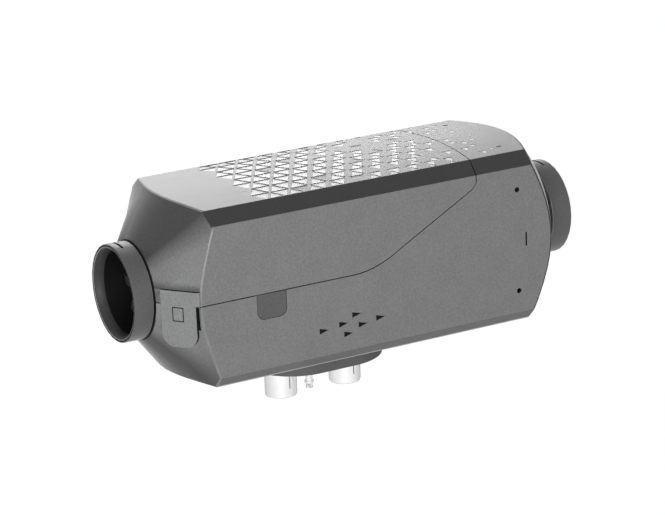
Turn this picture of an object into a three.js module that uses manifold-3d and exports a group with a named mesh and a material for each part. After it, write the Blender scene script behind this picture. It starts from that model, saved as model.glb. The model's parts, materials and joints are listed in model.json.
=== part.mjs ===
// Diesel air heater with a moulded two-part casing, an air fan and a combustion blower on one
// motor shaft, and a finned heat exchanger that stands on a sealed mounting flange.
// Millimetres. +X runs along the heater from air intake to warm-air outlet, +Z is up, and the
// origin is the centre of the flange gasket's seating face.

import * as THREE from 'three';
import { mergeVertices } from 'three/addons/utils/BufferGeometryUtils.js';
import Module from 'manifold-3d';

const wasm = await Module();
wasm.setup();

// ---------------------------------------------------------------------------
// Driving dimensions. Places along X are measured from the rim of a collar or from another
// named face, heights and radii from the shaft axis.
// ---------------------------------------------------------------------------

const overallLength = 310;        // rim of one duct collar to rim of the other
const halfLength = overallLength / 2;

// Casing section: a square with bevelled long edges and a slightly crowned top
const bodyWidth = 109.4;
const bodyHeight = 109.8;         // underside to the long edges of the top
const topCrown = 1.8;             // the middle of the top stands this much higher
const crownSegments = 8;
const bevelAcross = 10.1;         // upper bevel, measured across the top face
const lowerBevelAcross = 7.2;     // lower bevel, measured across the underside
const bevelDown = 7.5;            // either bevel, measured along the side face
const wall = 2.5;
const hoodSegments = 48;
const hoodSegmentsInside = 24;

// Hoods that draw the square section in to the round collars
const intakeStandOff = 13.6;      // collar rim to the front of the hood
const outletStandOff = 20;
const hoodNeckRadius = 31;
const hoodSlope = 0.76;           // axial run for each millimetre of radius
const outletFaceSlope = 0.49;     // the same on the flatter face round the outlet collar
const shoulderRun = 13;           // axial run of the rounded shoulder of the intake hood
const shoulderSteps = 3;
const shoulderBend = 0.45;        // share of the corner that the shoulder takes at full slope
const neckWall = 3.5;             // thickness of the hood where the collar passes through

// Parting line of the upper cover
const seamGap = 0.6;
const coverEndFromRim = 80.8;     // outlet rim to the cover's edge, on the centre line
const coverEndRadius = 289;       // plan radius of that edge
const seamCornerLean = 1.5;       // the corner under that edge leans back by this much
const seamCornerDrop = 1.4;       // below the bevel
const seamRampEndSetback = 9.9;   // from the cover's edge
const seamRampEndDrop = 9.5;      // below the bevel
const seamRampRun = 51.1;
const seamRampStartHeight = 10.4;
const seamBendRun = 33.2;         // the level stretch bends up into the ramp over this length

// Duct collars
const collarRadius = 30.3;
const collarBoreRadius = 25.8;
const collarRimFlat = 1.4;        // flat of the rim
const collarRimEdge = 0.5;        // chamfer outside the rim
const collarNeckRadius = 28.7;    // waist between ring and hood
const intakeRingLength = 12.5;
const outletRingLength = 14.3;
const collarFunnel = 6;           // depth of the flared mouth
const collarFunnelBend = 0.35;    // share of that depth where the flare bends
const collarSleeveWall = 2.1;
const collarFlangeRadius = 31;    // flange that the hood holds from inside
const collarFlange = 1.7;
const collarSegments = 32;
const collarSlotFromRim = 5.3;
const collarSlotWidth = 1.6;
const collarSlotArc = 26;         // degrees
const collarSlotDepth = 1.6;

// Latch tabs that hang from the cover's hood over the lower shell
const latchTop = 9;
const latchBottom = -26;
const latchInnerRadius = 34;      // nearest and farthest from the axis, on the hood's slope
const latchOuterRadius = 52.5;
const latchProud = 1.5;
const latchThickness = 2.4;
const latchClearance = 0.45;
const latchRearGap = 1.3;
const latchPocketReach = 4;       // how far out the pocket clears the hood
const latchCornerRadius = 8;
const latchMarkWidth = 7.5;
const latchMarkHeight = 9;
const latchMarkLine = 0.6;
const latchMarkDepth = 0.5;
const latchMarkDrop = 14.5;       // tab's top edge to the middle of the mark
const latchMarkShift = -0.4;

// Small openings near the outlet end
const sideHolesFromRim = 56.6;
const sideHoleHeight = 33;
const sideHoleRadius = 1.7;
const sideSlotFromRim = 50.5;
const sideSlotLength = 9;
const sideSlotWidth = 1.1;
const topSlotsFromRim = 55;
const topSlotY = 32;
const topSlotLength = 3.4;
const topSlotWidth = 1.8;

// Cable grommet in the side wall, under the seam
const grommetFromRim = 69;
const grommetWidth = 19.4;
const grommetHeight = 15.8;
const grommetCornerRadius = 5;
const grommetLip = 2;             // how far the inside lip reaches past the notch
const grommetLipThickness = 1.6;

// Mounting flange
const flangeFromBurner = 24.7;    // burner face of the drum to the centre of the flange
const flangeDrop = 7.1;           // underside of the casing to the seating face
const gasketWidth = 89;
const gasketCornerRadius = 32;
const gasketSheet = 2.3;          // rubber under the casting
const footWidth = 66;
const footShift = 5.4;            // casting and stubs stand this far behind the gasket's centre
const footCornerRadius = 14;
const footShoulder = 3.5;         // how far the casting reaches over the bottom wall inside
const studPitch = 46;             // square pattern of the tapped mounting holes
const studHoleRadius = 2.5;
const studHoleDepth = 14;
const gasketHoleRadius = 3.3;

// Stubs and fuel pipe under the flange
const stubSpacing = 45.8;
const stubRadius = 10.2;
const stubWall = 1.9;
const stubReach = 25.7;           // below the seating face
const stubSeatDepth = 11;         // pushed into the casting
const stubEdge = 1;
const stubEdgeBend = 0.3;         // share of the edge where its rounding bends
const stubSlit = 0.7;
const stubSlitDepth = 8.2;
const stubSlitSpread = 36;        // degrees between the two slits
const stubSlitTurn = -63;         // degrees, middle of the tongue between them
const fuelPipeX = -3.7;           // from the flange centre
const fuelPipeY = -12;
const fuelPipeRadius = 2.25;
const fuelPipeBore = 1;
const fuelPipeReach = 20.5;
const fuelPipeSeatDepth = 9;
const fuelPipeBead = 0.7;
const fuelPipeBeadLength = 1.4;
const fuelPipeBeadFromEnd = 3.2;

// Heat exchanger
const drumRadius = 33;
const drumWall = 4;
const burnerFromRim = 103;        // intake rim to the burner face of the drum
const drumEndFromRim = 59;        // outlet rim to the closed end of the drum
const drumDome = 10;
const drumEndShare = 0.4;         // flat of the dome, as a share of the drum
const domeStepShare = 0.8;        // the dome bends at this share of the drum,
const domeStepDepth = 0.3;        // this share of the dome's depth from the flat
const burnerFlange = 5;
const burnerFlangeReach = 4;      // beyond the drum
const finCount = 24;
const finThickness = 1.9;
const finRoot = 1;                // how deep a fin stands in the drum's wall
const finStartSetback = 12;
const finEndSetback = 10;
const finEndSlope = 14;           // fins fall away towards the outlet
const finCasingGap = 2.6;
const finCrownSegments = 4;
const airChannelCap = 3;          // casting between the burner flange and the air channel
const airBossCap = 2;
const footLedgeHeight = 5;        // thickness of that ledge
const footBlockWidth = 62;        // casting between foot and drum

// Burner
const chamberRadius = 24;
const chamberWall = 1.2;
const chamberLength = 64;         // inside the drum
const chamberFlange = 3.2;
const chamberHoleRadius = 2.4;
const chamberHoleCount = 6;
const chamberHoleRows = 2;
const chamberHoleFirst = 18;      // burner face to the first row
const chamberHolePitch = 18;
const flameTubeRadius = 20;
const flameTubeSetback = 18;      // its end to the closed end of the drum
const flameTubeWall = 1.2;
const flameTubeLap = 10;          // length inside the chamber
const flameTubeRim = 3.2;
const airPortOuter = 12.5;        // two curved air ports in the chamber's front
const airPortInner = 9;
const airPortBridge = 8;          // metal between them
const evaporatorThickness = 3;
const evaporatorBore = 4;
const burnerGasketBore = 24.6;
const glowPlugFromBurner = 18;
const glowPlugRadius = 3;
const glowPlugHeadRadius = 6;
const glowPlugHead = 5;
const glowPlugTip = 15;           // distance of the tip from the axis
const glowPlugTipRadius = 2.1;
const glowPlugShoulder = 2;       // the shank's end stays this far outside the chamber
const glowPlugRoom = 2;           // clear space round the head
const glowPlugHeadroom = 3.2;     // under the cover
const glowBossRadius = 8.5;
const glowSealThickness = 1.6;

// Screws that hold blower and burner to the exchanger
const earPitchRadius = 40;
const earRadius = 5.2;
const earAngle = 30;              // degrees above and below the horizontal
const screwRadius = 2;
const screwHeadRadius = 3.8;
const screwHead = 3;
const screwBite = 4;

// Combustion blower
const blowerRadius = 37;
const blowerWall = 3.2;
const blowerDepth = 22.4;
const blowerInletRadius = 15;
const blowerCoverThickness = 3;
const gasketThickness = 1.5;
const impellerRadius = 27;
const impellerDepth = 9;
const impellerDisc = 2;
const impellerVanes = 14;
const impellerVaneThickness = 1.3;
const impellerHubRadius = 8;
const impellerClearance = 2;      // blower cover to the impeller's disc

// Motor
const motorRadius = 23;
const motorLength = 32;
const motorWall = 1.6;
const motorNoseRadius = 10.5;
const motorNose = 4.5;
const motorFlangeRadius = 27;
const motorFlange = 2.4;
const bearingRadius = 8;
const bearingWidth = 4;
const bearingSeatWall = 2;
const statorInnerRadius = 14.6;
const statorSlots = 9;
const statorSlotWidth = 2.8;
const statorYoke = 2.4;
const statorLength = 17;
const armatureRadius = 13.6;
const armatureLength = 18;
const shaftRadius = 2.5;
const shaftSegments = 16;

// Air fan
const fanFromRim = 15;
const fanLength = 19;
const fanShroudSetback = 1;       // end of the intake sleeve before the fan's back
const outletSleeve = 5.1;
const shaftSetback = 1;           // shaft end inside the nut
const fanTipGap = 0.9;
const fanHubRadius = 11.5;
const fanNoseRadius = 6.5;
const fanNoseLength = 0.6;        // as a share of the hub's length
const fanNoseBend = 0.35;         // share of the hub's length where the nose bends,
const fanNoseBendShare = 0.9;     // and its radius there as a share of the hub's
const fanBlades = 7;
const fanBladeChordAtHub = 17;
const fanBladeChordAtTip = 20;
const fanBladeThickness = 1.3;
const fanStaggerAtHub = 32;       // degrees from the axis
const fanStaggerAtTip = 58;
const fanCamber = 0.14;
const bladeEdgeShare = 0.15;      // of the blade's thickness, at its two edges,
const bladeMiddleShare = 0.35;    // and what its middle adds
const bladeBend = 0.3;            // a section bends at this share of its chord from either edge
const fanSections = 5;
const fanBladeRoot = 2;           // how deep a blade stands in the hub
const fanNutRadius = 4;
const fanNut = 3;

// Control unit on top of motor and blower
const controlLength = 50;
const controlSetback = 2.4;       // from the burner end of the blower
const controlWidth = 56;
const controlFloorGap = 1.3;      // over the blower
const controlLidGap = 1.3;        // under the cover
const controlWall = 1.5;
const controlSaddleInset = 2;
const controlSaddleLength = 18;
const controlSaddleWidth = 34;
const controlSaddleDrop = 20;
const controlCornerRadius = 4;

// Overheat sensor on the drum
const sensorFromBurner = 80;
const sensorLength = 14;
const sensorWidth = 5.2;
const sensorHeight = 5;
const sensorClip = 0.9;
const sensorClipLength = 8;

const clearance = 0.3;            // between parts that seat on each other
const runningClearance = 0.08;    // between turning and fixed round parts
const overshoot = 1;              // a cut reaches this far past what it cuts
const roundSegments = 18;
const stubSegments = 24;

// ---------------------------------------------------------------------------
// Sizes that follow from them
// ---------------------------------------------------------------------------

const hoodFront = -halfLength + intakeStandOff;
const hoodBack = halfLength - outletStandOff;
const shoulderRadius = Math.min(bodyWidth, bodyHeight) / 2;
const hoodShoulderX = hoodFront + hoodSlope * (bodyWidth / 2 - hoodNeckRadius);
const burnerFlangeRadius = drumRadius + burnerFlangeReach;
const sectionReach = Math.hypot(bodyWidth, bodyHeight) / 2;
const coverEnd = halfLength - coverEndFromRim;
const seamRampEnd = coverEnd - seamRampEndSetback;
const seamRampStart = seamRampEnd - seamRampRun;
const seamStraightEnd = seamRampStart - seamBendRun;
const bevelHeight = bodyHeight / 2 - bevelDown;
const drumStart = -halfLength + burnerFromRim;
const drumEnd = halfLength - drumEndFromRim;
const finStart = drumStart + finStartSetback;
const finEnd = drumEnd - finEndSetback;
const chamberEnd = drumStart + chamberLength;
const flameTubeEnd = drumEnd - flameTubeSetback;
const flangeX = drumStart + flangeFromBurner;
const floorOutside = -bodyHeight / 2;
const seat = floorOutside - flangeDrop;
const gasketTop = floorOutside - clearance;
const footBottom = seat + gasketSheet;
const footLedge = floorOutside + wall + clearance;
const blowerBack = drumStart - clearance - chamberFlange - clearance - gasketThickness - clearance;
const blowerFront = blowerBack - blowerDepth;
const coverPlateBack = blowerFront - clearance;
const coverPlateFront = coverPlateBack - blowerCoverThickness;
const motorBack = coverPlateFront - clearance;
const motorFront = motorBack - motorLength;
const noseFront = motorFront - motorNose;
const fanFront = -halfLength + fanFromRim;
const fanBack = fanFront + fanLength;
const impellerFront = coverPlateBack + impellerClearance;
const impellerBack = impellerFront + impellerDepth;
const finTurn = 180 / finCount;
const footX = flangeX + footShift;
const intakeStubX = footX - stubSpacing / 2;
const exhaustStubX = footX + stubSpacing / 2;
const glowPlugX = drumStart + glowPlugFromBurner;
const glowPlugTop = bodyHeight / 2 - wall - glowPlugHeadroom;
const glowBossHeight = glowPlugTop - glowPlugHead - glowSealThickness - 2 * clearance;
const controlFloor = blowerRadius + controlFloorGap;
const controlLidLow = bodyHeight / 2 - wall - controlLidGap - controlWall;
const controlEnd = blowerBack - controlSetback;
const controlStart = controlEnd - controlLength;
const sensorX = drumStart + sensorFromBurner;

// ---------------------------------------------------------------------------
// Materials
// ---------------------------------------------------------------------------

function finish(color, roughness, metalness) {
  return new THREE.MeshStandardMaterial({ color, roughness, metalness });
}

const casingPlastic = () => finish(0x7b7c7e, 0.55, 0);
const collarPlastic = () => finish(0x5a5b5d, 0.5, 0);
const darkPlastic = () => finish(0x2b2c2e, 0.5, 0);
const rubber = () => finish(0x333333, 0.85, 0);
const castAluminium = () => finish(0xa9abad, 0.55, 0.9);
const turnedAluminium = () => finish(0xe4e6e6, 0.35, 0.6);
const steel = () => finish(0x8d8f92, 0.35, 1);
const heatSteel = () => finish(0x6f6a64, 0.5, 1);
const fleece = () => finish(0x8b8880, 0.9, 0.4);
const lamination = () => finish(0x55585c, 0.6, 0.8);

// ---------------------------------------------------------------------------
// Shape helpers
// ---------------------------------------------------------------------------

const radians = THREE.MathUtils.degToRad;

// A closed three.js geometry as a solid that can be joined and cut
function solidOf(geometry) {
  const bare = geometry.clone();
  bare.deleteAttribute('normal');
  bare.deleteAttribute('uv');
  const merged = mergeVertices(bare, 1e-4);
  const corners = merged.index.array;
  const kept = [];
  for (let i = 0; i < corners.length; i += 3) {
    const [a, b, c] = [corners[i], corners[i + 1], corners[i + 2]];
    if (a !== b && b !== c && c !== a) kept.push(a, b, c);
  }
  return new wasm.Manifold(new wasm.Mesh({
    numProp: 3,
    vertProperties: new Float32Array(merged.attributes.position.array),
    triVerts: new Uint32Array(kept),
  }));
}

function geometryOf(solid) {
  const { vertProperties, triVerts, numProp } = solid.getMesh();
  const position = new Float32Array((vertProperties.length / numProp) * 3);
  for (let i = 0; i < position.length / 3; i += 1) {
    for (let k = 0; k < 3; k += 1) position[i * 3 + k] = vertProperties[i * numProp + k];
  }
  const geometry = new THREE.BufferGeometry();
  geometry.setAttribute('position', new THREE.BufferAttribute(position, 3));
  geometry.setIndex(new THREE.BufferAttribute(new Uint32Array(triVerts), 1));
  geometry.computeVertexNormals();
  return geometry;
}

function extruded(shape, depth, curveSegments) {
  return new THREE.ExtrudeGeometry(shape, { depth, bevelEnabled: false, curveSegments });
}

const axisX = new THREE.Vector3(1, 0, 0);
const axisY = new THREE.Vector3(0, 1, 0);
const axisZ = new THREE.Vector3(0, 0, 1);

// Outline drawn in (y, z), extruded along X
function alongX(shape, from, to, curveSegments = 8) {
  const geometry = extruded(shape, to - from, curveSegments);
  geometry.applyMatrix4(new THREE.Matrix4().makeBasis(axisY, axisZ, axisX));
  return solidOf(geometry.translate(from, 0, 0));
}

// Outline drawn in (x, z), extruded along Y
function alongY(shape, from, to, curveSegments = 8) {
  const geometry = extruded(shape, to - from, curveSegments);
  geometry.applyMatrix4(new THREE.Matrix4().makeBasis(axisX, axisZ, axisY.clone().negate()));
  return solidOf(geometry.translate(0, to, 0));
}

// Outline drawn in (x, y), extruded along Z
function alongZ(shape, from, to, curveSegments = 8) {
  return solidOf(extruded(shape, to - from, curveSegments).translate(0, 0, from));
}

// Profile of [x, radius] pairs turned about the shaft axis. The outer side runs towards +X.
function turned(profile, segments = roundSegments) {
  const points = profile.map(([x, radius]) => new THREE.Vector2(radius, x));
  const lathe = new THREE.LatheGeometry(points, segments);
  return solidOf(lathe.rotateZ(-Math.PI / 2));
}

function rodX(radius, from, to, y = 0, z = 0, segments = roundSegments) {
  return turned([[from, 0], [from, radius], [to, radius], [to, 0]], segments).translate([0, y, z]);
}

function tubeX(outer, inner, from, to, segments = roundSegments) {
  return turned([[from, inner], [from, outer], [to, outer], [to, inner], [from, inner]], segments);
}

function rodZ(radius, from, to, x = 0, y = 0, segments = roundSegments) {
  const geometry = new THREE.CylinderGeometry(radius, radius, to - from, segments);
  geometry.rotateX(Math.PI / 2);
  return solidOf(geometry.translate(x, y, (from + to) / 2));
}

function rodY(radius, from, to, x, z, segments = roundSegments) {
  const geometry = new THREE.CylinderGeometry(radius, radius, to - from, segments);
  return solidOf(geometry.translate(x, (from + to) / 2, z));
}

function block(x0, x1, y0, y1, z0, z1) {
  const geometry = new THREE.BoxGeometry(x1 - x0, y1 - y0, z1 - z0);
  return solidOf(geometry.translate((x0 + x1) / 2, (y0 + y1) / 2, (z0 + z1) / 2));
}

function union(solids) {
  return solids.reduce((whole, next) => whole.add(next));
}

function roundedRectangle(x, y, width, height, radius) {
  const [left, right] = [x - width / 2, x + width / 2];
  const [low, high] = [y - height / 2, y + height / 2];
  const shape = new THREE.Shape();
  shape.moveTo(left + radius, low);
  shape.lineTo(right - radius, low);
  shape.absarc(right - radius, low + radius, radius, -Math.PI / 2, 0, false);
  shape.lineTo(right, high - radius);
  shape.absarc(right - radius, high - radius, radius, 0, Math.PI / 2, false);
  shape.lineTo(left + radius, high);
  shape.absarc(left + radius, high - radius, radius, Math.PI / 2, Math.PI, false);
  shape.lineTo(left, low + radius);
  shape.absarc(left + radius, low + radius, radius, Math.PI, Math.PI * 1.5, false);
  return shape;
}

// Round core with evenly spaced straight fins or vanes
function finnedOutline(coreRadius, tipRadius, count, thickness, turn) {
  const half = Math.asin(thickness / 2 / coreRadius);
  const shape = new THREE.Shape();
  for (let i = 0; i < count; i += 1) {
    const angle = radians(turn) + (i * 2 * Math.PI) / count;
    const along = [Math.cos(angle), Math.sin(angle)];
    const across = [(-along[1] * thickness) / 2, (along[0] * thickness) / 2];
    const root = [coreRadius * Math.cos(half), tipRadius];
    const corner = (distance, side) => [
      along[0] * distance + across[0] * side,
      along[1] * distance + across[1] * side,
    ];
    const path = [corner(root[0], -1), corner(root[1], -1), corner(root[1], 1), corner(root[0], 1)];
    path.forEach(([y, z], k) => (i + k === 0 ? shape.moveTo(y, z) : shape.lineTo(y, z)));
  }
  shape.closePath();
  return shape;
}

// Radius of a faceted hole that clears a round part of the given radius all the way round
function runningBore(radius, segments) {
  return (radius + runningClearance) / Math.cos(Math.PI / segments);
}

// ---------------------------------------------------------------------------
// Casing
// ---------------------------------------------------------------------------

// Where an inset bevel starts on the top or underside, from the middle, and on the side, from
// the axis
function bevelCorners(across, inset) {
  const slope = Math.atan2(bevelDown, across);
  return {
    level: bodyWidth / 2 - across - inset * Math.tan(slope / 2),
    upright: bodyHeight / 2 - bevelDown - inset * Math.tan((Math.PI / 2 - slope) / 2),
  };
}

// Bevelled square section, drawn in by the given inset on every face
function bodySection(inset) {
  const [y, z] = [bodyWidth / 2 - inset, bodyHeight / 2 - inset];
  const top = bevelCorners(bevelAcross, inset);
  const bottom = bevelCorners(lowerBevelAcross, inset);
  const shape = new THREE.Shape();
  shape.moveTo(-bottom.level, -z);
  shape.lineTo(bottom.level, -z);
  shape.lineTo(y, -bottom.upright);
  shape.lineTo(y, top.upright);
  shape.lineTo(top.level, z);
  shape.quadraticCurveTo(0, z + 2 * topCrown, -top.level, z);
  shape.lineTo(-y, top.upright);
  shape.lineTo(-y, -bottom.upright);
  return shape;
}

// Turned envelope of both hoods, drawn in by the given inset
function hoodEnvelope(inset, front, back, segments) {
  const shift = inset * Math.hypot(1, hoodSlope);
  const faceShift = inset * Math.hypot(1, outletFaceSlope);
  const reach = sectionReach + overshoot;
  const faceDepth = outletFaceSlope * (shoulderRadius - hoodNeckRadius);
  const outletShoulderX = hoodBack - faceDepth - shift;
  const frontRadius = hoodNeckRadius + (front - hoodFront - shift) / hoodSlope;
  const backRadius = hoodNeckRadius + (hoodBack - faceShift - back) / outletFaceSlope;
  const shoulderX = hoodFront + shift + hoodSlope * (shoulderRadius - hoodNeckRadius);
  const bend = (sectionReach - shoulderRadius) * shoulderBend;
  const shoulder = new THREE.QuadraticBezierCurve(
    new THREE.Vector2(shoulderX, shoulderRadius),
    new THREE.Vector2(shoulderX + hoodSlope * bend, shoulderRadius + bend),
    new THREE.Vector2(shoulderX + shoulderRun, reach),
  );
  const rounded = shoulder.getPoints(shoulderSteps).map((point) => [point.x, point.y]);
  return turned([
    [front, 0],
    [front, frontRadius],
    ...rounded,
    [outletShoulderX - hoodSlope * (reach - shoulderRadius), reach],
    [outletShoulderX, shoulderRadius],
    [back, backRadius],
    [back, 0],
  ], segments);
}

function casingShell() {
  const outside = alongX(bodySection(0), hoodFront, hoodBack, crownSegments)
    .intersect(hoodEnvelope(0, hoodFront, hoodBack, hoodSegments));
  const [front, back] = [hoodFront + neckWall, hoodBack - neckWall];
  const inside = alongX(bodySection(wall), front, back, crownSegments)
    .intersect(hoodEnvelope(wall, front, back, hoodSegmentsInside));
  const collarHole = collarBoreRadius + collarSleeveWall + clearance;
  return outside
    .subtract(inside)
    .subtract(rodX(collarHole, -halfLength, halfLength, 0, 0, collarSegments));
}

// Side view of the part of the casing that lifts off
function coverProfile(raise) {
  const shape = new THREE.Shape();
  shape.moveTo(-halfLength, raise);
  shape.lineTo(seamStraightEnd, raise);
  shape.quadraticCurveTo(
    (seamStraightEnd + seamRampStart) / 2,
    raise,
    seamRampStart,
    seamRampStartHeight + raise,
  );
  const rampEndHeight = bevelHeight - seamRampEndDrop;
  shape.lineTo(seamRampEnd, rampEndHeight + raise);
  const corner = coverEdgeAt(bodyWidth / 2) + overshoot;
  const slope = (rampEndHeight - seamRampStartHeight) / seamRampRun;
  shape.quadraticCurveTo(
    corner - seamCornerLean,
    rampEndHeight + slope * (corner - seamCornerLean - seamRampEnd) + raise,
    corner - raise,
    bevelHeight - seamCornerDrop,
  );
  shape.lineTo(halfLength, bevelHeight);
  shape.lineTo(halfLength, bodyHeight);
  shape.lineTo(-halfLength, bodyHeight);
  return shape;
}

// Where the cover's outlet-side edge lies, by distance from the centre line
function coverEdgeAt(y) {
  return coverEnd - (y * y) / (2 * coverEndRadius);
}

function coverPlan(back) {
  const shape = new THREE.Shape();
  const edge = bodyWidth / 2 + wall;
  shape.moveTo(-halfLength, -edge);
  shape.lineTo(coverEdgeAt(edge) + back, -edge);
  shape.quadraticCurveTo(2 * coverEnd - coverEdgeAt(edge) + back, 0, coverEdgeAt(edge) + back, edge);
  shape.lineTo(-halfLength, edge);
  return shape;
}

// The space that belongs to the cover, widened or narrowed by half the seam gap
function coverSpace(grow) {
  const side = alongY(coverProfile(-grow), -bodyWidth, bodyWidth);
  return side.intersect(alongZ(coverPlan(grow), -bodyHeight, bodyHeight));
}

// Outline of a latch tab on its own plane: along the hood's slope, and up
function latchOutline(grow, top) {
  const slopeLength = Math.hypot(1, hoodSlope);
  const near = latchInnerRadius * slopeLength - grow;
  const far = latchOuterRadius * slopeLength + (grow > 0 ? latchRearGap : 0);
  const low = latchBottom - grow;
  const shape = new THREE.Shape();
  shape.moveTo(near, top);
  shape.lineTo(near, low + latchCornerRadius);
  shape.absarc(near + latchCornerRadius, low + latchCornerRadius, latchCornerRadius,
    Math.PI, Math.PI * 1.5, false);
  shape.lineTo(far - latchCornerRadius, low);
  shape.absarc(far - latchCornerRadius, low + latchCornerRadius, latchCornerRadius,
    -Math.PI / 2, 0, false);
  shape.lineTo(far, top);
  return shape;
}

// A slab on the plane that touches the hood's flank, from one height over it to another
function onHoodFlank(shape, low, high, side) {
  const slope = new THREE.Vector3(hoodSlope, -1, 0).normalize();
  const outward = new THREE.Vector3(-1, -hoodSlope, 0).normalize();
  const geometry = extruded(shape, high - low, 6);
  geometry.applyMatrix4(new THREE.Matrix4().makeBasis(slope, axisZ, outward));
  geometry.translate(...outward.clone().multiplyScalar(low).toArray());
  geometry.translate(hoodFront - hoodSlope * hoodNeckRadius, 0, 0);
  const slab = solidOf(geometry);
  return side < 0 ? slab : slab.mirror([0, 1, 0]);
}

function latchMark(side) {
  const slopeLength = Math.hypot(1, hoodSlope);
  const middle = ((latchInnerRadius + latchOuterRadius) / 2) * slopeLength + latchMarkShift;
  const height = latchTop - latchMarkDrop;
  const corner = latchMarkLine / 2;
  const outer = roundedRectangle(middle, height, latchMarkWidth, latchMarkHeight, corner);
  const inner = roundedRectangle(
    middle,
    height,
    latchMarkWidth - 2 * latchMarkLine,
    latchMarkHeight - 2 * latchMarkLine,
    corner / 2,
  );
  const [low, high] = [latchProud - latchMarkDepth, latchProud + overshoot];
  return onHoodFlank(outer, low, high, side)
    .subtract(onHoodFlank(inner, low - overshoot, high + overshoot, side));
}

// Tab with its root, which runs out to the side of the cover above the seam
function latchTab(side) {
  const [low, high] = [latchProud - latchThickness, latchProud];
  const slopeLength = Math.hypot(1, hoodSlope);
  const root = new THREE.Shape();
  root.moveTo(latchInnerRadius * slopeLength, seamGap / 2);
  root.lineTo(bodyWidth * slopeLength, seamGap / 2);
  root.lineTo(bodyWidth * slopeLength, latchTop);
  root.lineTo(latchInnerRadius * slopeLength, latchTop);
  const half = bodyWidth / 2;
  const besideHood = block(-halfLength, hoodShoulderX, -half, half, -bodyHeight, bodyHeight);
  return onHoodFlank(latchOutline(0, latchTop), low, high, side)
    .add(onHoodFlank(root, low, high, side).intersect(besideHood))
    .subtract(latchMark(side));
}

function latchPocket(side) {
  const floor = latchProud - latchThickness - latchClearance;
  return onHoodFlank(latchOutline(latchClearance, latchTop), floor, latchProud + latchPocketReach, side);
}

function upperCover() {
  const skin = casingShell().intersect(coverSpace(-seamGap / 2));
  return union([skin, latchTab(-1), latchTab(1)]);
}

function grommetOutline(grow, top) {
  const start = -halfLength + grommetFromRim;
  const [left, right] = [start - grow, start + grommetWidth + grow];
  const low = -grommetHeight - grow;
  const radius = grommetCornerRadius;
  const shape = new THREE.Shape();
  shape.moveTo(left, top);
  shape.lineTo(left, low + radius);
  shape.absarc(left + radius, low + radius, radius, Math.PI, Math.PI * 1.5, false);
  shape.lineTo(right - radius, low);
  shape.absarc(right - radius, low + radius, radius, -Math.PI / 2, 0, false);
  shape.lineTo(right, top);
  return shape;
}

function cableGrommet() {
  const [outside, inside] = [-bodyWidth / 2, -bodyWidth / 2 + wall];
  const top = -seamGap / 2;
  const plug = alongY(grommetOutline(0, top), outside, inside + clearance + grommetLipThickness, 5);
  const lip = alongY(
    grommetOutline(grommetLip, top),
    inside + clearance,
    inside + clearance + grommetLipThickness,
    5,
  );
  return plug.add(lip);
}

function smallOpenings() {
  const cuts = [];
  const deep = bodyWidth;
  for (const height of [-sideHoleHeight, sideHoleHeight]) {
    cuts.push(rodY(sideHoleRadius, -deep, deep, halfLength - sideHolesFromRim, height, 12));
  }
  const slotX = halfLength - sideSlotFromRim;
  const sideSlot = roundedRectangle(slotX, 0, sideSlotWidth, sideSlotLength, sideSlotWidth / 3);
  cuts.push(alongY(sideSlot, -deep, deep, 2));
  for (const y of [-topSlotY, topSlotY]) {
    const x = halfLength - topSlotsFromRim;
    const topSlot = roundedRectangle(x, y, topSlotLength, topSlotWidth, topSlotWidth / 3);
    cuts.push(alongZ(topSlot, 0, bodyHeight, 2));
  }
  return union(cuts);
}

function lowerCover() {
  const opening = roundedRectangle(
    footX,
    0,
    footWidth + 2 * clearance,
    footWidth + 2 * clearance,
    footCornerRadius + clearance,
  );
  return casingShell()
    .subtract(coverSpace(seamGap / 2))
    .subtract(latchPocket(-1))
    .subtract(latchPocket(1))
    .subtract(alongZ(opening, floorOutside - wall, floorOutside + 2 * wall, 6))
    .subtract(alongY(grommetOutline(clearance, wall), -bodyWidth, -bodyWidth / 4))
    .subtract(smallOpenings());
}

// Collar for a 60 mm air duct, drawn for the intake end. A waist joins its ring to the hood, and
// its sleeve reaches inside the casing.
function ductCollar(standOff, ringLength, sleeveEnd) {
  const rim = -halfLength;
  const stop = rim + standOff - clearance;
  const sleeve = collarBoreRadius + collarSleeveWall;
  const flangeFront = rim + standOff + neckWall + clearance;
  const mouth = collarRadius - collarRimEdge - collarRimFlat;
  const flare = new THREE.QuadraticBezierCurve(
    new THREE.Vector2(rim + collarFunnel, collarBoreRadius),
    new THREE.Vector2(rim + collarFunnel * collarFunnelBend, collarBoreRadius),
    new THREE.Vector2(rim, mouth),
  ).getPoints(2).map((point) => [point.x, point.y]);
  const ring = turned([
    [rim, collarRadius - collarRimEdge],
    [rim + collarRimEdge, collarRadius],
    [rim + ringLength, collarRadius],
    [rim + ringLength, collarNeckRadius],
    [stop, collarNeckRadius],
    [stop, sleeve],
    [flangeFront, sleeve],
    [flangeFront, collarFlangeRadius],
    [flangeFront + collarFlange, collarFlangeRadius],
    [flangeFront + collarFlange, sleeve],
    [sleeveEnd, sleeve],
    [sleeveEnd, collarBoreRadius],
    ...flare,
    [rim, collarRadius - collarRimEdge],
  ], collarSegments);
  const slotStart = rim + collarSlotFromRim - collarSlotWidth / 2;
  const groove = tubeX(
    collarRadius + overshoot,
    collarRadius - collarSlotDepth,
    slotStart,
    slotStart + collarSlotWidth,
    collarSegments,
  );
  const wedgeTop = collarRadius + 2 * overshoot;
  const halfChord = wedgeTop * Math.tan(radians(collarSlotArc / 2));
  const wedge = new THREE.Shape();
  wedge.moveTo(0, 0);
  wedge.lineTo(halfChord, wedgeTop);
  wedge.lineTo(-halfChord, wedgeTop);
  return ring.subtract(groove.intersect(alongX(wedge, -halfLength, 0)));
}

function intakeCollar() {
  return ductCollar(intakeStandOff, intakeRingLength, fanBack - fanShroudSetback);
}

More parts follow.
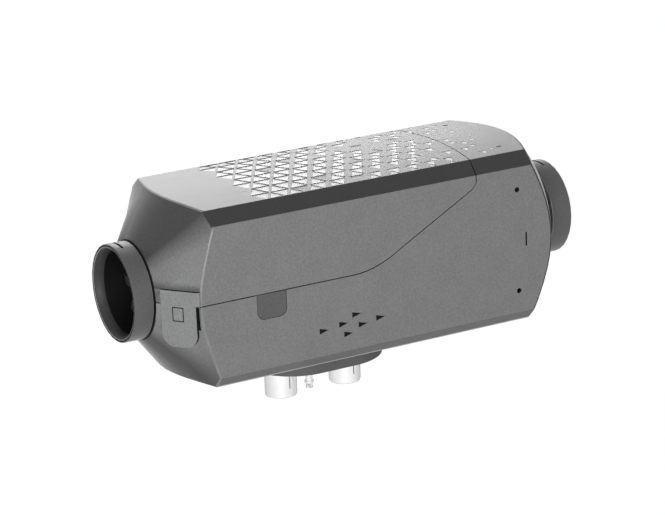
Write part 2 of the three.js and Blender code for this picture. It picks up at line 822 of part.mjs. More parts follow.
function outletCollar() {
  const sleeveEnd = -halfLength + outletStandOff + neckWall + clearance + outletSleeve;
  return ductCollar(outletStandOff, outletRingLength, sleeveEnd).mirror([1, 0, 0]);
}

// ---------------------------------------------------------------------------
// Mounting flange, stubs and fuel pipe
// ---------------------------------------------------------------------------

function studHoles(radius, from, to) {
  const holes = [];
  for (const x of [-studPitch / 2, studPitch / 2]) {
    for (const y of [-studPitch / 2, studPitch / 2]) {
      holes.push(rodZ(radius, from, to, footX + x, y, 8));
    }
  }
  return union(holes);
}

function stubHoles(radius, from, to) {
  return union([intakeStubX, exhaustStubX].map((x) => rodZ(radius, from, to, x, 0)));
}

function fuelHole(radius, from, to) {
  return rodZ(radius, from, to, flangeX + fuelPipeX, fuelPipeY, 16);
}

function flangeGasket() {
  const pad = roundedRectangle(flangeX, 0, gasketWidth, gasketWidth, gasketCornerRadius);
  const recess = roundedRectangle(
    footX,
    0,
    footWidth + 2 * clearance,
    footWidth + 2 * clearance,
    footCornerRadius + clearance,
  );
  return alongZ(pad, seat, gasketTop, 8)
    .subtract(alongZ(recess, footBottom - clearance, gasketTop + overshoot, 4))
    .subtract(stubHoles(stubRadius + clearance, seat - overshoot, 0))
    .subtract(fuelHole(fuelPipeRadius + clearance, seat - overshoot, 0))
    .subtract(studHoles(gasketHoleRadius, seat - overshoot, 0));
}

// Pipe stub turned from aluminium, with a sprung tongue between two slits
function pipeStub(x) {
  const [end, top] = [seat - stubReach, footBottom + stubSeatDepth];
  const bore = stubRadius - stubWall;
  const profile = [
    [end, bore],
    [end, stubRadius - stubEdge],
    [end + stubEdge * stubEdgeBend, stubRadius - stubEdge * stubEdgeBend],
    [end + stubEdge, stubRadius],
    [top, stubRadius],
    [top, bore],
    [end, bore],
  ].map(([z, radius]) => new THREE.Vector2(radius, z));
  const lathe = new THREE.LatheGeometry(profile, stubSegments);
  const tube = solidOf(lathe.rotateX(Math.PI / 2));
  const slits = [-0.5, 0.5].map((share) => {
    const slit = new THREE.BoxGeometry(2 * stubWall + stubEdge, stubSlit, stubSlitDepth);
    slit.translate(stubRadius, 0, seat - stubSlitDepth / 2);
    return solidOf(slit.rotateZ(radians(stubSlitTurn + share * stubSlitSpread)));
  });
  return tube.subtract(union(slits)).translate([x, 0, 0]);
}

function fuelPipe() {
  const [end, top] = [seat - fuelPipeReach, footBottom + fuelPipeSeatDepth];
  const [x, y] = [flangeX + fuelPipeX, fuelPipeY];
  const beadLow = end + fuelPipeBeadFromEnd;
  const bead = rodZ(fuelPipeRadius + fuelPipeBead, beadLow, beadLow + fuelPipeBeadLength, x, y, 16);
  return rodZ(fuelPipeRadius, end, top, x, y, 16)
    .add(bead)
    .subtract(rodZ(fuelPipeBore, end - overshoot, top + overshoot, x, y, 8));
}

// ---------------------------------------------------------------------------
// Heat exchanger and burner
// ---------------------------------------------------------------------------

function earPositions() {
  const angles = [earAngle, 180 - earAngle, 180 + earAngle, -earAngle];
  return angles.map((angle) => [
    earPitchRadius * Math.cos(radians(angle)),
    earPitchRadius * Math.sin(radians(angle)),
  ]);
}

function ears(radius, from, to, segments = 8) {
  return union(earPositions().map(([y, z]) => rodX(radius, from, to, y, z, segments)));
}

// Disc with four screw ears
function earedDisc(radius, from, to) {
  return rodX(radius, from, to)
    .add(ears(earRadius, from, to))
    .subtract(ears(screwRadius + clearance, from - overshoot, to + overshoot));
}

function exchangerFins() {
  const outline = finnedOutline(drumRadius - finRoot, sectionReach, finCount, finThickness, finTurn);
  const envelope = turned([
    [finStart, 0],
    [finStart, sectionReach],
    [finEnd - finEndSlope, sectionReach],
    [finEnd, drumRadius + finThickness],
    [finEnd, 0],
  ], finCount);
  return alongX(outline, finStart, finEnd)
    .intersect(alongX(bodySection(wall + finCasingGap), finStart, finEnd, finCrownSegments))
    .intersect(envelope);
}

function exchangerFoot() {
  const ledge = footWidth + 2 * footShoulder;
  const below = roundedRectangle(footX, 0, footWidth, footWidth, footCornerRadius);
  const above = roundedRectangle(footX, 0, ledge, ledge, footCornerRadius + footShoulder);
  const blockEnd = footX + footWidth / 2;
  const half = footBlockWidth / 2;
  const lap = footLedge + footLedgeHeight / 2;
  return alongZ(below, footBottom, lap, 6)
    .add(alongZ(above, footLedge, footLedge + footLedgeHeight, 6))
    .add(block(drumStart, blockEnd, -half, half, lap, -drumRadius / 2));
}

function heatExchanger() {
  const cavity = drumRadius - drumWall;
  const drum = turned([
    [drumStart, 0],
    [drumStart, drumRadius],
    [drumEnd - drumDome, drumRadius],
    [drumEnd - drumDome * domeStepDepth, drumRadius * domeStepShare],
    [drumEnd, drumRadius * drumEndShare],
    [drumEnd, 0],
  ], finCount);
  const hollow = turned([
    [drumStart - overshoot, 0],
    [drumStart - overshoot, cavity],
    [drumEnd - drumDome - drumWall, cavity],
    [drumEnd - drumWall, cavity * drumEndShare],
    [drumEnd - drumWall, 0],
  ], finCount);
  const glowBoss = rodZ(glowBossRadius, 0, glowBossHeight, glowPlugX, 0, 20);
  const exhaustChannel = rodZ(stubRadius - stubWall, footBottom, 0, exhaustStubX, 0, 20);
  const channelTop = -drumRadius - burnerFlange - airChannelCap;
  const airChannel = rodZ(stubRadius - stubWall, footBottom, channelTop, intakeStubX, 0, 20);
  const airBoss = rodZ(stubRadius + stubWall, footLedge, channelTop + airBossCap, intakeStubX, 0);
  return drum
    .add(earedDisc(burnerFlangeRadius, drumStart, drumStart + burnerFlange))
    .add(exchangerFins())
    .add(exchangerFoot())
    .add(glowBoss)
    .add(airBoss)
    .subtract(rodZ(glowPlugHeadRadius + glowPlugRoom, glowBossHeight, sectionReach, glowPlugX, 0, 16))
    .subtract(hollow)
    .subtract(rodZ(glowPlugRadius + clearance, 0, glowBossHeight + overshoot, glowPlugX, 0, 16))
    .subtract(stubHoles(stubRadius + clearance, seat, footBottom + stubSeatDepth + clearance))
    .subtract(exhaustChannel)
    .subtract(airChannel)
    .subtract(fuelHole(fuelPipeRadius + clearance, seat, footBottom + fuelPipeSeatDepth + clearance))
    .subtract(studHoles(studHoleRadius, seat, footBottom + studHoleDepth));
}

function combustionChamber() {
  const [front, back] = [drumStart - clearance - chamberFlange, chamberEnd];
  const inner = chamberRadius - chamberWall;
  const floor = front + chamberFlange;
  const can = turned([
    [front, 0],
    [front, chamberRadius],
    [back, chamberRadius],
    [back, inner],
    [floor, inner],
    [floor, 0],
  ]);
  const holes = [];
  for (let row = 0; row < chamberHoleRows; row += 1) {
    const x = drumStart + chamberHoleFirst + row * chamberHolePitch;
    for (let i = 0; i < chamberHoleCount; i += 1) {
      const hole = rodZ(chamberHoleRadius, inner - overshoot, chamberRadius + overshoot, x, 0, 6);
      holes.push(hole.rotate([(360 * (i + 0.5 * ((row + 1) % 2))) / chamberHoleCount, 0, 0]));
    }
  }
  const plugHole = glowPlugTipRadius + clearance;
  holes.push(rodZ(plugHole, glowPlugTip - overshoot, chamberRadius + overshoot, glowPlugX, 0, 12));
  const [before, behind] = [front - overshoot, floor + overshoot];
  const bridge = block(before, behind, -inner, inner, -airPortBridge / 2, airPortBridge / 2);
  const airPorts = tubeX(airPortOuter, airPortInner, before, behind).subtract(bridge);
  return earedDisc(burnerFlangeRadius, front, floor)
    .add(can)
    .subtract(union(holes))
    .subtract(airPorts);
}

function flameTube() {
  const start = chamberEnd - flameTubeLap;
  const inner = flameTubeRadius - flameTubeWall;
  const rim = chamberRadius - chamberWall - clearance;
  return turned([
    [start, inner],
    [start, rim],
    [start + flameTubeRim, rim],
    [start + flameTubeRim, flameTubeRadius],
    [flameTubeEnd, flameTubeRadius],
    [flameTubeEnd, inner],
    [start, inner],
  ]);
}

function evaporatorPad() {
  const back = drumStart + evaporatorThickness;
  return rodX(chamberRadius - chamberWall - clearance, drumStart, back)
    .subtract(rodX(evaporatorBore, drumStart - overshoot, back + overshoot, 0, 0, 12));
}

function burnerGasket() {
  const [front, back] = [blowerBack + clearance, blowerBack + clearance + gasketThickness];
  return earedDisc(burnerFlangeRadius, front, back)
    .subtract(rodX(burnerGasketBore, front - overshoot, back + overshoot));
}

function glowSeal() {
  const [low, high] = [glowBossHeight + clearance, glowBossHeight + clearance + glowSealThickness];
  return rodZ(glowPlugHeadRadius, low, high, glowPlugX, 0)
    .subtract(rodZ(glowPlugRadius + clearance, low - overshoot, high + overshoot, glowPlugX, 0, 16));
}

function glowPlug() {
  const headLow = glowPlugTop - glowPlugHead;
  const chamberTop = chamberRadius + glowPlugShoulder;
  return rodZ(glowPlugHeadRadius, headLow, glowPlugTop, glowPlugX, 0, 6)
    .add(rodZ(glowPlugRadius, chamberTop, headLow, glowPlugX, 0, 16))
    .add(rodZ(glowPlugTipRadius, glowPlugTip, chamberTop, glowPlugX, 0, 12));
}

function screwLong(y, z) {
  const [headFront, seatFace] = [coverPlateFront - clearance - screwHead, coverPlateFront - clearance];
  const end = drumStart + screwBite;
  return rodX(screwHeadRadius, headFront, seatFace, y, z, 12)
    .add(rodX(screwRadius, seatFace, end, y, z, 8))
    .subtract(rodX(screwHeadRadius / 2, headFront - overshoot, headFront + screwHead / 2, y, z, 6));
}

// ---------------------------------------------------------------------------
// Combustion blower, motor and fans
// ---------------------------------------------------------------------------

function blowerHousing() {
  const cavity = blowerRadius - blowerWall;
  const floor = impellerBack + impellerClearance;
  return earedDisc(blowerRadius, blowerFront, blowerBack)
    .subtract(rodX(cavity, blowerFront - overshoot, floor))
    .subtract(rodX(blowerInletRadius, floor - overshoot, blowerBack + overshoot));
}

function blowerCover() {
  const bearingSeat = bearingRadius + clearance;
  return earedDisc(blowerRadius, coverPlateFront, coverPlateBack)
    .add(rodX(bearingSeat + bearingSeatWall, motorBack - bearingWidth, coverPlateBack))
    .subtract(rodX(bearingSeat, motorBack - bearingWidth - overshoot, coverPlateFront))
    .subtract(rodX(2 * shaftRadius, coverPlateFront - overshoot, coverPlateBack + overshoot));
}

function motorCan() {
  const inner = motorRadius - motorWall;
  const shell = turned([
    [noseFront, 0],
    [noseFront, motorNoseRadius],
    [motorFront, motorNoseRadius],
    [motorFront, motorRadius],
    [motorBack - motorFlange, motorRadius],
    [motorBack - motorFlange, motorFlangeRadius],
    [motorBack, motorFlangeRadius],
    [motorBack, inner],
    [motorFront + motorWall, inner],
    [motorFront + motorWall, 0],
  ]);
  return shell
    .subtract(rodX(bearingRadius + clearance, noseFront + motorWall, motorFront + 2 * motorWall))
    .subtract(rodX(2 * shaftRadius, noseFront - overshoot, motorFront));
}

function bearing(front) {
  const bore = runningBore(shaftRadius, shaftSegments);
  return tubeX(bearingRadius, bore, front, front + bearingWidth, shaftSegments);
}

function frontBearing() {
  return bearing(noseFront + motorWall + clearance);
}

function rearBearing() {
  return bearing(coverPlateFront - clearance - bearingWidth);
}

function motorStator() {
  const middle = (motorFront + motorWall + motorBack - bearingWidth) / 2;
  const [from, to] = [middle - statorLength / 2, middle + statorLength / 2];
  const outer = motorRadius - motorWall - clearance;
  const slots = [];
  for (let i = 0; i < statorSlots; i += 1) {
    const slot = block(
      from - overshoot,
      to + overshoot,
      -statorSlotWidth / 2,
      statorSlotWidth / 2,
      statorInnerRadius - overshoot,
      outer - statorYoke,
    );
    slots.push(slot.rotate([(360 * i) / statorSlots, 0, 0]));
  }
  return tubeX(outer, statorInnerRadius, from, to).subtract(union(slots));
}

function motorArmature() {
  const middle = (motorFront + motorWall + motorBack - bearingWidth) / 2;
  const [from, to] = [middle - armatureLength / 2, middle + armatureLength / 2];
  return tubeX(armatureRadius, shaftRadius + clearance, from, to, shaftSegments);
}

function motorShaft() {
  return rodX(shaftRadius, fanFront + shaftSetback, impellerBack - shaftSetback, 0, 0, shaftSegments);
}

function combustionImpeller() {
  const vanes = finnedOutline(
    impellerHubRadius,
    impellerRadius,
    impellerVanes,
    impellerVaneThickness,
    0,
  );
  const [before, behind] = [impellerFront - overshoot, impellerBack + overshoot];
  return alongX(vanes, impellerFront, impellerBack)
    .add(rodX(impellerRadius, impellerFront, impellerFront + impellerDisc, 0, 0, 24))
    .subtract(rodX(shaftRadius + clearance, before, behind, 0, 0, shaftSegments));
}

// Closed solid through a row of equal rings of points
function lofted(rings) {
  const count = rings[0].length;
  const position = rings.flat().flatMap((point) => point.toArray());
  const index = [];
  for (let i = 0; i + 1 < rings.length; i += 1) {
    for (let k = 0; k < count; k += 1) {
      const [a, b] = [i * count + k, i * count + ((k + 1) % count)];
      index.push(a, b + count, b, a, a + count, b + count);
    }
  }
  const last = (rings.length - 1) * count;
  for (let k = 1; k + 1 < count; k += 1) {
    index.push(0, k, k + 1);
    index.push(last, last + k + 1, last + k);
  }
  const geometry = new THREE.BufferGeometry();
  geometry.setAttribute('position', new THREE.Float32BufferAttribute(position, 3));
  geometry.setIndex(index);
  return solidOf(geometry);
}

// Section of a cambered fan blade, wrapped round the axis at its radius
function bladeSection(radius, chord, stagger, middleX) {
  const stations = [0, bladeBend, 1 - bladeBend, 1];
  const bow = (share) => 4 * fanCamber * chord * share * (1 - share);
  const upper = stations.map((share) => [share, bow(share) + fanBladeThickness * thicknessAt(share)]);
  const lower = [1 - bladeBend, bladeBend].map((share) => [
    share,
    bow(share) - fanBladeThickness * thicknessAt(share),
  ]);
  return [...upper, ...lower].map(([share, height]) => {
    const along = (share - 0.5) * chord;
    const x = middleX + along * Math.cos(stagger) - height * Math.sin(stagger);
    const round = (along * Math.sin(stagger) + height * Math.cos(stagger)) / radius;
    return new THREE.Vector3(x, radius * Math.sin(round), radius * Math.cos(round));
  });
}

// Share of the blade's thickness above or below its bowed middle line
function thicknessAt(share) {
  return bladeEdgeShare + 4 * bladeMiddleShare * share * (1 - share);
}

function fanBlade(tipRadius) {
  const rings = [];
  for (let i = 0; i < fanSections; i += 1) {
    const share = i / (fanSections - 1);
    const radius = THREE.MathUtils.lerp(fanHubRadius - fanBladeRoot, tipRadius, share);
    const chord = THREE.MathUtils.lerp(fanBladeChordAtHub, fanBladeChordAtTip, share);
    const stagger = radians(THREE.MathUtils.lerp(fanStaggerAtHub, fanStaggerAtTip, share));
    rings.push(bladeSection(radius, chord, stagger, (fanFront + fanBack) / 2));
  }
  return lofted(rings);
}

function airFan() {
  const bore = shaftRadius + clearance;
  const front = fanFront + shaftSetback + fanNut + clearance;
  const hub = turned([
    [front, bore],
    [front, fanNoseRadius],
    [front + (fanBack - front) * fanNoseBend, fanHubRadius * fanNoseBendShare],
    [front + (fanBack - front) * fanNoseLength, fanHubRadius],
    [fanBack, fanHubRadius],
    [fanBack, bore],
    [front, bore],
  ]);
  const tipRadius = collarBoreRadius * Math.cos(Math.PI / collarSegments) - fanTipGap;
  const blades = [];
  for (let i = 0; i < fanBlades; i += 1) {
    blades.push(fanBlade(tipRadius).rotate([(360 * i) / fanBlades, 0, 0]));
  }
  return hub.add(union(blades));
}

function fanNutSolid() {
  const [front, back] = [fanFront + shaftSetback, fanFront + shaftSetback + fanNut];
  const bore = shaftRadius + clearance;
  return rodX(fanNutRadius, front, back, 0, 0, 6)
    .subtract(rodX(bore, front - overshoot, back + overshoot, 0, 0, shaftSegments));
}

// ---------------------------------------------------------------------------
// Control unit and sensor
// ---------------------------------------------------------------------------

function controlCase() {
  const middle = (controlStart + controlEnd) / 2;
  const tray = roundedRectangle(middle, 0, controlLength, controlWidth, controlCornerRadius);
  const hollow = roundedRectangle(
    middle,
    0,
    controlLength - 2 * controlWall,
    controlWidth - 2 * controlWall,
    controlCornerRadius - controlWall,
  );
  const half = controlSaddleWidth / 2;
  const saddleStart = controlStart + controlSaddleInset;
  const saddle = block(
    saddleStart,
    saddleStart + controlSaddleLength,
    -half,
    half,
    controlFloor - controlSaddleDrop,
    controlFloor + controlWall,
  );
  const rim = controlLidLow - clearance;
  return alongZ(tray, controlFloor, rim, 4)
    .subtract(alongZ(hollow, controlFloor + controlWall, rim + overshoot, 4))
    .add(saddle)
    .subtract(rodX(motorRadius + clearance, motorFront - overshoot, motorBack));
}

function controlLid() {
  const middle = (controlStart + controlEnd) / 2;
  const plate = roundedRectangle(middle, 0, controlLength, controlWidth, controlCornerRadius);
  return alongZ(plate, controlLidLow, controlLidLow + controlWall, 4);
}

function overheatSensor() {
  const low = drumRadius + clearance;
  return block(sensorX - sensorLength / 2, sensorX + sensorLength / 2, -sensorWidth / 2,
    sensorWidth / 2, low, low + sensorHeight);
}

function sensorClipSolid() {
  const low = drumRadius + sensorHeight + 2 * clearance;
  return block(sensorX - sensorClipLength / 2, sensorX + sensorClipLength / 2, -sensorWidth / 2,
    sensorWidth / 2, low, low + sensorClip);
}

// ---------------------------------------------------------------------------
// Assembly
// ---------------------------------------------------------------------------

const heater = new THREE.Group();
const casing = new THREE.Group();
const rotor = new THREE.Group();
const cover = new THREE.Group();
const assembly = new THREE.Group();
assembly.position.set(-flangeX, 0, -seat);
assembly.add(casing, rotor, cover);
heater.add(assembly);

function addPart(group, name, solid, material) {
  const mesh = new THREE.Mesh(geometryOf(solid), material);
  mesh.name = name;
  group.add(mesh);
}

addPart(casing, 'lower_cover', lowerCover(), casingPlastic());
addPart(casing, 'intake_collar', intakeCollar(), collarPlastic());
addPart(casing, 'outlet_collar', outletCollar(), collarPlastic());
addPart(casing, 'cable_grommet', cableGrommet(), collarPlastic());
addPart(casing, 'flange_gasket', flangeGasket(), rubber());
addPart(casing, 'intake_stub', pipeStub(intakeStubX), turnedAluminium());
addPart(casing, 'exhaust_stub', pipeStub(exhaustStubX), turnedAluminium());
addPart(casing, 'fuel_pipe', fuelPipe(), steel());
addPart(casing, 'heat_exchanger', heatExchanger(), castAluminium());
addPart(casing, 'combustion_chamber', combustionChamber(), heatSteel());
addPart(casing, 'flame_tube', flameTube(), heatSteel());
addPart(casing, 'evaporator_pad', evaporatorPad(), fleece());
addPart(casing, 'burner_gasket', burnerGasket(), rubber());
addPart(casing, 'glow_plug', glowPlug(), steel());
addPart(casing, 'glow_plug_seal', glowSeal(), rubber());
addPart(casing, 'blower_housing', blowerHousing(), castAluminium());
addPart(casing, 'blower_cover', blowerCover(), castAluminium());
addPart(casing, 'motor_can', motorCan(), steel());
addPart(casing, 'motor_stator', motorStator(), lamination());
addPart(casing, 'front_bearing', frontBearing(), steel());
addPart(casing, 'rear_bearing', rearBearing(), steel());
addPart(casing, 'control_case', controlCase(), darkPlastic());
addPart(casing, 'control_lid', controlLid(), darkPlastic());
addPart(casing, 'overheat_sensor', overheatSensor(), darkPlastic());
addPart(casing, 'sensor_clip', sensorClipSolid(), steel());
earPositions().forEach(([y, z], i) => {
  addPart(casing, `blower_screw_${i + 1}`, screwLong(y, z), steel());
});

addPart(rotor, 'motor_shaft', motorShaft(), steel());
addPart(rotor, 'motor_armature', motorArmature(), lamination());
addPart(rotor, 'air_fan', airFan(), darkPlastic());
addPart(rotor, 'fan_nut', fanNutSolid(), steel());
addPart(rotor, 'combustion_impeller', combustionImpeller(), castAluminium());

addPart(cover, 'upper_cover', upperCover(), casingPlastic());

export default heater;
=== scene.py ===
# Diesel air heater: finish and fine surfaces of its moulded casing, duct collars, flange gasket,
# pipe stubs, heat exchanger, burner, blower, motor and fan. Metres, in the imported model's frame.

import json
import math
import random

import bmesh
import bpy
from mathutils import Matrix, Quaternion, Vector


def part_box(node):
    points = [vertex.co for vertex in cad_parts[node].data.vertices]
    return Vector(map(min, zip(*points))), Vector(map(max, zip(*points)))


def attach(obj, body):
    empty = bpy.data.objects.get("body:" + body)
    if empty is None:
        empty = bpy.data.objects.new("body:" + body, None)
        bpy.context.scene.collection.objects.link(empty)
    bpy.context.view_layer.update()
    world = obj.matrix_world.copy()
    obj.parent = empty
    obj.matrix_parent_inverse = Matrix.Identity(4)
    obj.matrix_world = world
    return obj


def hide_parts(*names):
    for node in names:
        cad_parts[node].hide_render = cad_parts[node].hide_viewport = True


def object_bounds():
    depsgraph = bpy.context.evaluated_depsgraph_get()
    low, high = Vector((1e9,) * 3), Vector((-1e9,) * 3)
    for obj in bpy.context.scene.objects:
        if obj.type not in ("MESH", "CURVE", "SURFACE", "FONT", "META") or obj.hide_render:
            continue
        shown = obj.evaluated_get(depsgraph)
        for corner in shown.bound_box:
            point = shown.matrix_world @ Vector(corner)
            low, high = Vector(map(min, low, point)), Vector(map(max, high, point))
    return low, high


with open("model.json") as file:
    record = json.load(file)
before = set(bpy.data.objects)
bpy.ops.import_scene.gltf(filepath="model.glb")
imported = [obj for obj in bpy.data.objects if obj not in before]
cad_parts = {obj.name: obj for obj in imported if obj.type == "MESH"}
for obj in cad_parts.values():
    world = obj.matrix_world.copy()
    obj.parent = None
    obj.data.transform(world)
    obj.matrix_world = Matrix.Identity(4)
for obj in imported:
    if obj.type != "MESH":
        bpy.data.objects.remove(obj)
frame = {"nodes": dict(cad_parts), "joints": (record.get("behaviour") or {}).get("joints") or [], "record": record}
cad_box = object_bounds()

MM = 0.001

# ---------------------------------------------------------------------------
# Places read from the frame
# ---------------------------------------------------------------------------

shell_low, shell_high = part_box("lower_cover")
INLET_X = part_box("intake_collar")[0].x
OUTLET_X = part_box("outlet_collar")[1].x
spin = next(joint for joint in frame["joints"] if joint["name"] == "rotor_spin")
AXIS_Z = spin["pos_m"][2]
MIDDLE = Vector(((INLET_X + OUTLET_X) / 2, 0, AXIS_Z))
HALF_WIDTH = shell_high.y

# Section of the casing, as the shells have it
BEVEL_ACROSS = 10.1 * MM
BEVEL_DOWN = 7.5 * MM
TOP_CROWN = 1.8 * MM
TOP_EDGE_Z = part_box("upper_cover")[1].z - TOP_CROWN
TOP_HALF_WIDTH = HALF_WIDTH - BEVEL_ACROSS
TOP_EDGE_BAND = 0.5 * MM             # faces this little below the top's edge are the top's

# Latch tabs on the flanks of the hood at the air inlet, with heights from the axis
LATCH_TOP = 9 * MM
LATCH_LOW = -28 * MM
LATCH_NEAR = 28 * MM                 # from the middle across
LATCH_REACH = shell_low.x + 20 * MM
LATCH_SUNK = 0.1 * MM                # faces sunk deeper than this are the tab's marked square
LATCH_OVER = 0.2 * MM                # above the tab's top, still part of its pocket
FLANK_OUT = 1.32                     # slope of the flank in plan

# Places on the duct collars, as depths from their mouths, and on the fan
RING_DEPTH = 12 * MM
NECK_STARTS = 14.8 * MM
MOUTH_DEPTH = 1 * MM
BLADE_ROOT = 10 * MM                 # radius at the foot of the fan's blades

# ---------------------------------------------------------------------------
# Sizes of the fine surfaces
# ---------------------------------------------------------------------------

WELD = 0.002 * MM
FLAT = math.radians(0.6)
ON_PLANE = 1e-7                      # metres from a cutting plane that count as on it
SAME_AS_BESIDE = -1                  # material of a rounded edge that takes its neighbours'
SMOOTH_UNDER = math.radians(35)

# Edges that are rounded: their angles, lengths and radii
CREASE_LOW = math.radians(15)
CREASE_HIGH = math.radians(75)
CREASE_SHORTEST = 0.5 * MM
HOOD_ROUNDING = 0.9 * MM
EDGE_ROUNDING = 0.5 * MM
RIM_ROUNDING = 0.4 * MM
HOOD_SEGMENTS = 3
EDGE_SEGMENTS = 2                    # also of the collars' rims
RIM_ANGLE = math.radians(50)         # faces that meet at a rim turn by more than this
RIM_SHORTEST = 2 * MM
LOWER_EDGE_HEIGHT = 1.1 * MM         # of the painted highlight, a pale line at the foot of the lower bevels

# How faces are told apart, by the parts of their normals
OUT_FACING = 0.2                     # away from the axis, on the outside
BORE_FACING = 0.3                    # towards the axis, in a bore
END_FACING = 0.9                     # along the axis, on a collar's mouth
BLADE_FACING = 0.5                   # along the axis, on the blades' leading edges
CELL_FLOOR_FACING = 0.9              # downwards, under a cell's cutter
HOOD_FACING = 0.3                    # along the axis, on a hood
TOP_FACING = 0.985                   # upwards, on the crowned top
FLANK_FACING = 0.9995                # out of the flank, on a latch tab
POCKET_FACING = 0.5                  # less than this is a wall of the latch's pocket
BEVEL_ALONG = 0.02                   # along the axis, on a long bevel
BEVEL_SIDEWAYS = 0.3                 # least part sideways there
BEVEL_STEEPEST = 0.95                # most part up or down there
UPPER_BEVEL_RISE = 0.5               # least part up there
LOWER_BEVEL_RISE = 0.3               # least part down there
CUT_FACING = 0.05                    # sideways, on the walls of the cuts through the sides
CUT_REACH = 3 * MM                   # inwards from the sides
EDGE_ALONG = 0.98                    # along the axis, of an edge that runs lengthwise

# Pattern of sunk triangles in the top, with places along X from the heater's middle
CELL_SIDE = 13.37 * MM
ROW_STEP = CELL_SIDE * math.sqrt(3) / 2
PATTERN_START = -77.2 * MM
PATTERN_END = 97 * MM
PATTERN_FIRST_ROW = 46.68 * MM       # beyond the far edge of the top
PATTERN_ROWS = 9
PATTERN_SEED = 7
CELL_SHARE_START = 0.98              # side of a cell as a share of the lattice's
CELL_SHARE_END = 0.38
CELL_SHRINK_POWER = 1.5
CELL_DEPTH = 0.4 * MM
CELL_WALL = 0.32 * MM                # plan width of a cell's slanted walls
CELL_PROUD = 0.12 * MM               # how far its cutter stands over the top
CELL_MARGIN = 0.13 * MM              # from the lattice line to the wall
CELL_EDGE_GAP = 0.9 * MM             # from the pattern to the top's long edges
CELL_TURN = math.radians(150)        # direction from a cell's kept corner to its middle
PLAIN_FROM = -20 * MM                # past here some cells are left out
PLAIN_CHANCE = 0.35                  # share left out at the pattern's end
MATT_CHANCE = 0.07                   # share of cells without the polish and its painted reflection

# Arrows for the air's way on the side with the grommet: their size, and the places of their
# bases from the heater's middle in millimetres
ARROW_LENGTH = 6.2 * MM
ARROW_HEIGHT = 3.6 * MM
ARROW_DEPTH = 0.08 * MM
ARROW_PLACES = (
    (-44.8, -31.2), (-31.2, -29.5), (-21.9, -25.1),
    (-17.7, -32.2), (-28.0, -36.4), (-5.3, -30.3),
)

# Two upright grooves in each pipe stub, by their turn from -Y towards +X
STUB_GROOVES = (math.radians(6.5), math.radians(46.5))
STUB_GROOVE_WIDTH = 0.6 * MM
STUB_GROOVE_DEPTH = 0.8 * MM
STUB_GROOVE_LOW = -19.5 * MM

# ---------------------------------------------------------------------------
# View, floor and light
# ---------------------------------------------------------------------------

VIEW_TURN = math.radians(28.53)      # from +Y towards +X
VIEW_DIP = math.radians(17.46)
VIEW_ROLL = math.radians(-2.426)
VIEW_DISTANCE = 1800.2 * MM
VIEW_RIGHT = 3.39 * MM               # the heater's middle stands this far right of the centre
VIEW_UP = 6.19 * MM
VIEW_END = 20                        # metres to the end of the view
LENS = 155.95
SENSOR = 36

FLOOR_SIZE = 8
FLOOR_GAP = 0.2 * MM
FLOOR_SHADOW = 0.1                   # share of the floor that shows shadow
FLOOR_GLOW = 1.1
FLOOR_PAPER = (0.5, 0.5, 0.5, 1)
WHITE = (1, 1, 1, 1)
ROOM_COLOUR = (0.97, 0.98, 1, 1)
WALL_LIGHT = 0.14                    # strength of the room's light at the horizon
CEILING_LIGHT = 0.03
CEILING_STARTS = 0.2                 # sine of the height where the walls darken
CEILING_FULL = 0.6

SOFTBOXES = (                        # name, place from the heater's middle, size, watts
    ("front softbox", (-1.2, -2.15, 0.1), 1.2, 82),
    ("back softbox", (0.6, 2.4, 1.3), 2.0, 40),
)

# ---------------------------------------------------------------------------
# Grain and shading of the materials
# ---------------------------------------------------------------------------

NOISE_LOW = 0.3                      # range in which most of a noise's values lie
NOISE_HIGH = 0.7
NOISE_DETAIL = 3

PLASTIC_GRAIN_SCALE = 800            # per metre
PLASTIC_CLOUD_SCALE = 60
PLASTIC_SPECKLE = 0.14               # shares of the colour
PLASTIC_CLOUDING = 0.04
PLASTIC_ROUGHNESS_SPREAD = 0.06
PLASTIC_GRAIN_HEIGHT = 0.06 * MM
SHEEN_ROUGHNESS = 0.35

METAL_CLOUD_SCALE = 45
METAL_SPECKLE_LOW = 0.9
METAL_SPECKLE_HIGH = 1.08
METAL_CLOUDING = 0.08
METAL_ROUGHNESS_SPREAD = 0.07
METAL_GRAIN_HEIGHT = 0.1 * MM

# Painted light and shade on the hoods: factors on their colour, and the places between which they change
FLANK_LIGHT = 1.28                   # on the flanks
BEYOND_FLANK = 0.3                   # above and below the flanks
FLANK_ENDS = (0.68, 1.25)            # height over distance across
CREASE_SHADE = 0.4                   # in the crease over the latch tabs
CREASE_REACH = 4.5 * MM
CREASE_FOOT = 1 * MM
FOOT_SHADE = 0.6                     # at the foot of the hoods
FOOT_SHADE_HEIGHTS = (-48 * MM, -18 * MM)


# ---------------------------------------------------------------------------
# Pieces of the scene
# ---------------------------------------------------------------------------

def link(obj):
    bpy.context.scene.collection.objects.link(obj)
    return obj


def piece_of(bm, name, materials=()):
    """The mesh as a new object in the scene, with its materials."""
    mesh = bpy.data.meshes.new(name)
    bm.to_mesh(mesh)
    bm.free()
    for material in materials:
        mesh.materials.append(material)
    return link(bpy.data.objects.new(name, mesh))


# ---------------------------------------------------------------------------
# Shader nodes
# ---------------------------------------------------------------------------

def math_of(tree, operation, first, second=None):
    """The result of an operation on one value or two. The second may be a number."""
    node = tree.nodes.new("ShaderNodeMath")
    node.operation = operation
    tree.links.new(first, node.inputs[0])
    if isinstance(second, float):
        node.inputs[1].default_value = second
    elif second is not None:
        tree.links.new(second, node.inputs[1])
    return node.outputs[0]


def ranged(tree, value, low, high, start=NOISE_LOW, end=NOISE_HIGH):
    """The value, spread from the range between start and end to that between low and high."""
    spread = tree.nodes.new("ShaderNodeMapRange")
    spread.inputs["From Min"].default_value = start
    spread.inputs["From Max"].default_value = end
    spread.inputs["To Min"].default_value = low
    spread.inputs["To Max"].default_value = high
    tree.links.new(value, spread.inputs["Value"])
    return spread.outputs["Result"]


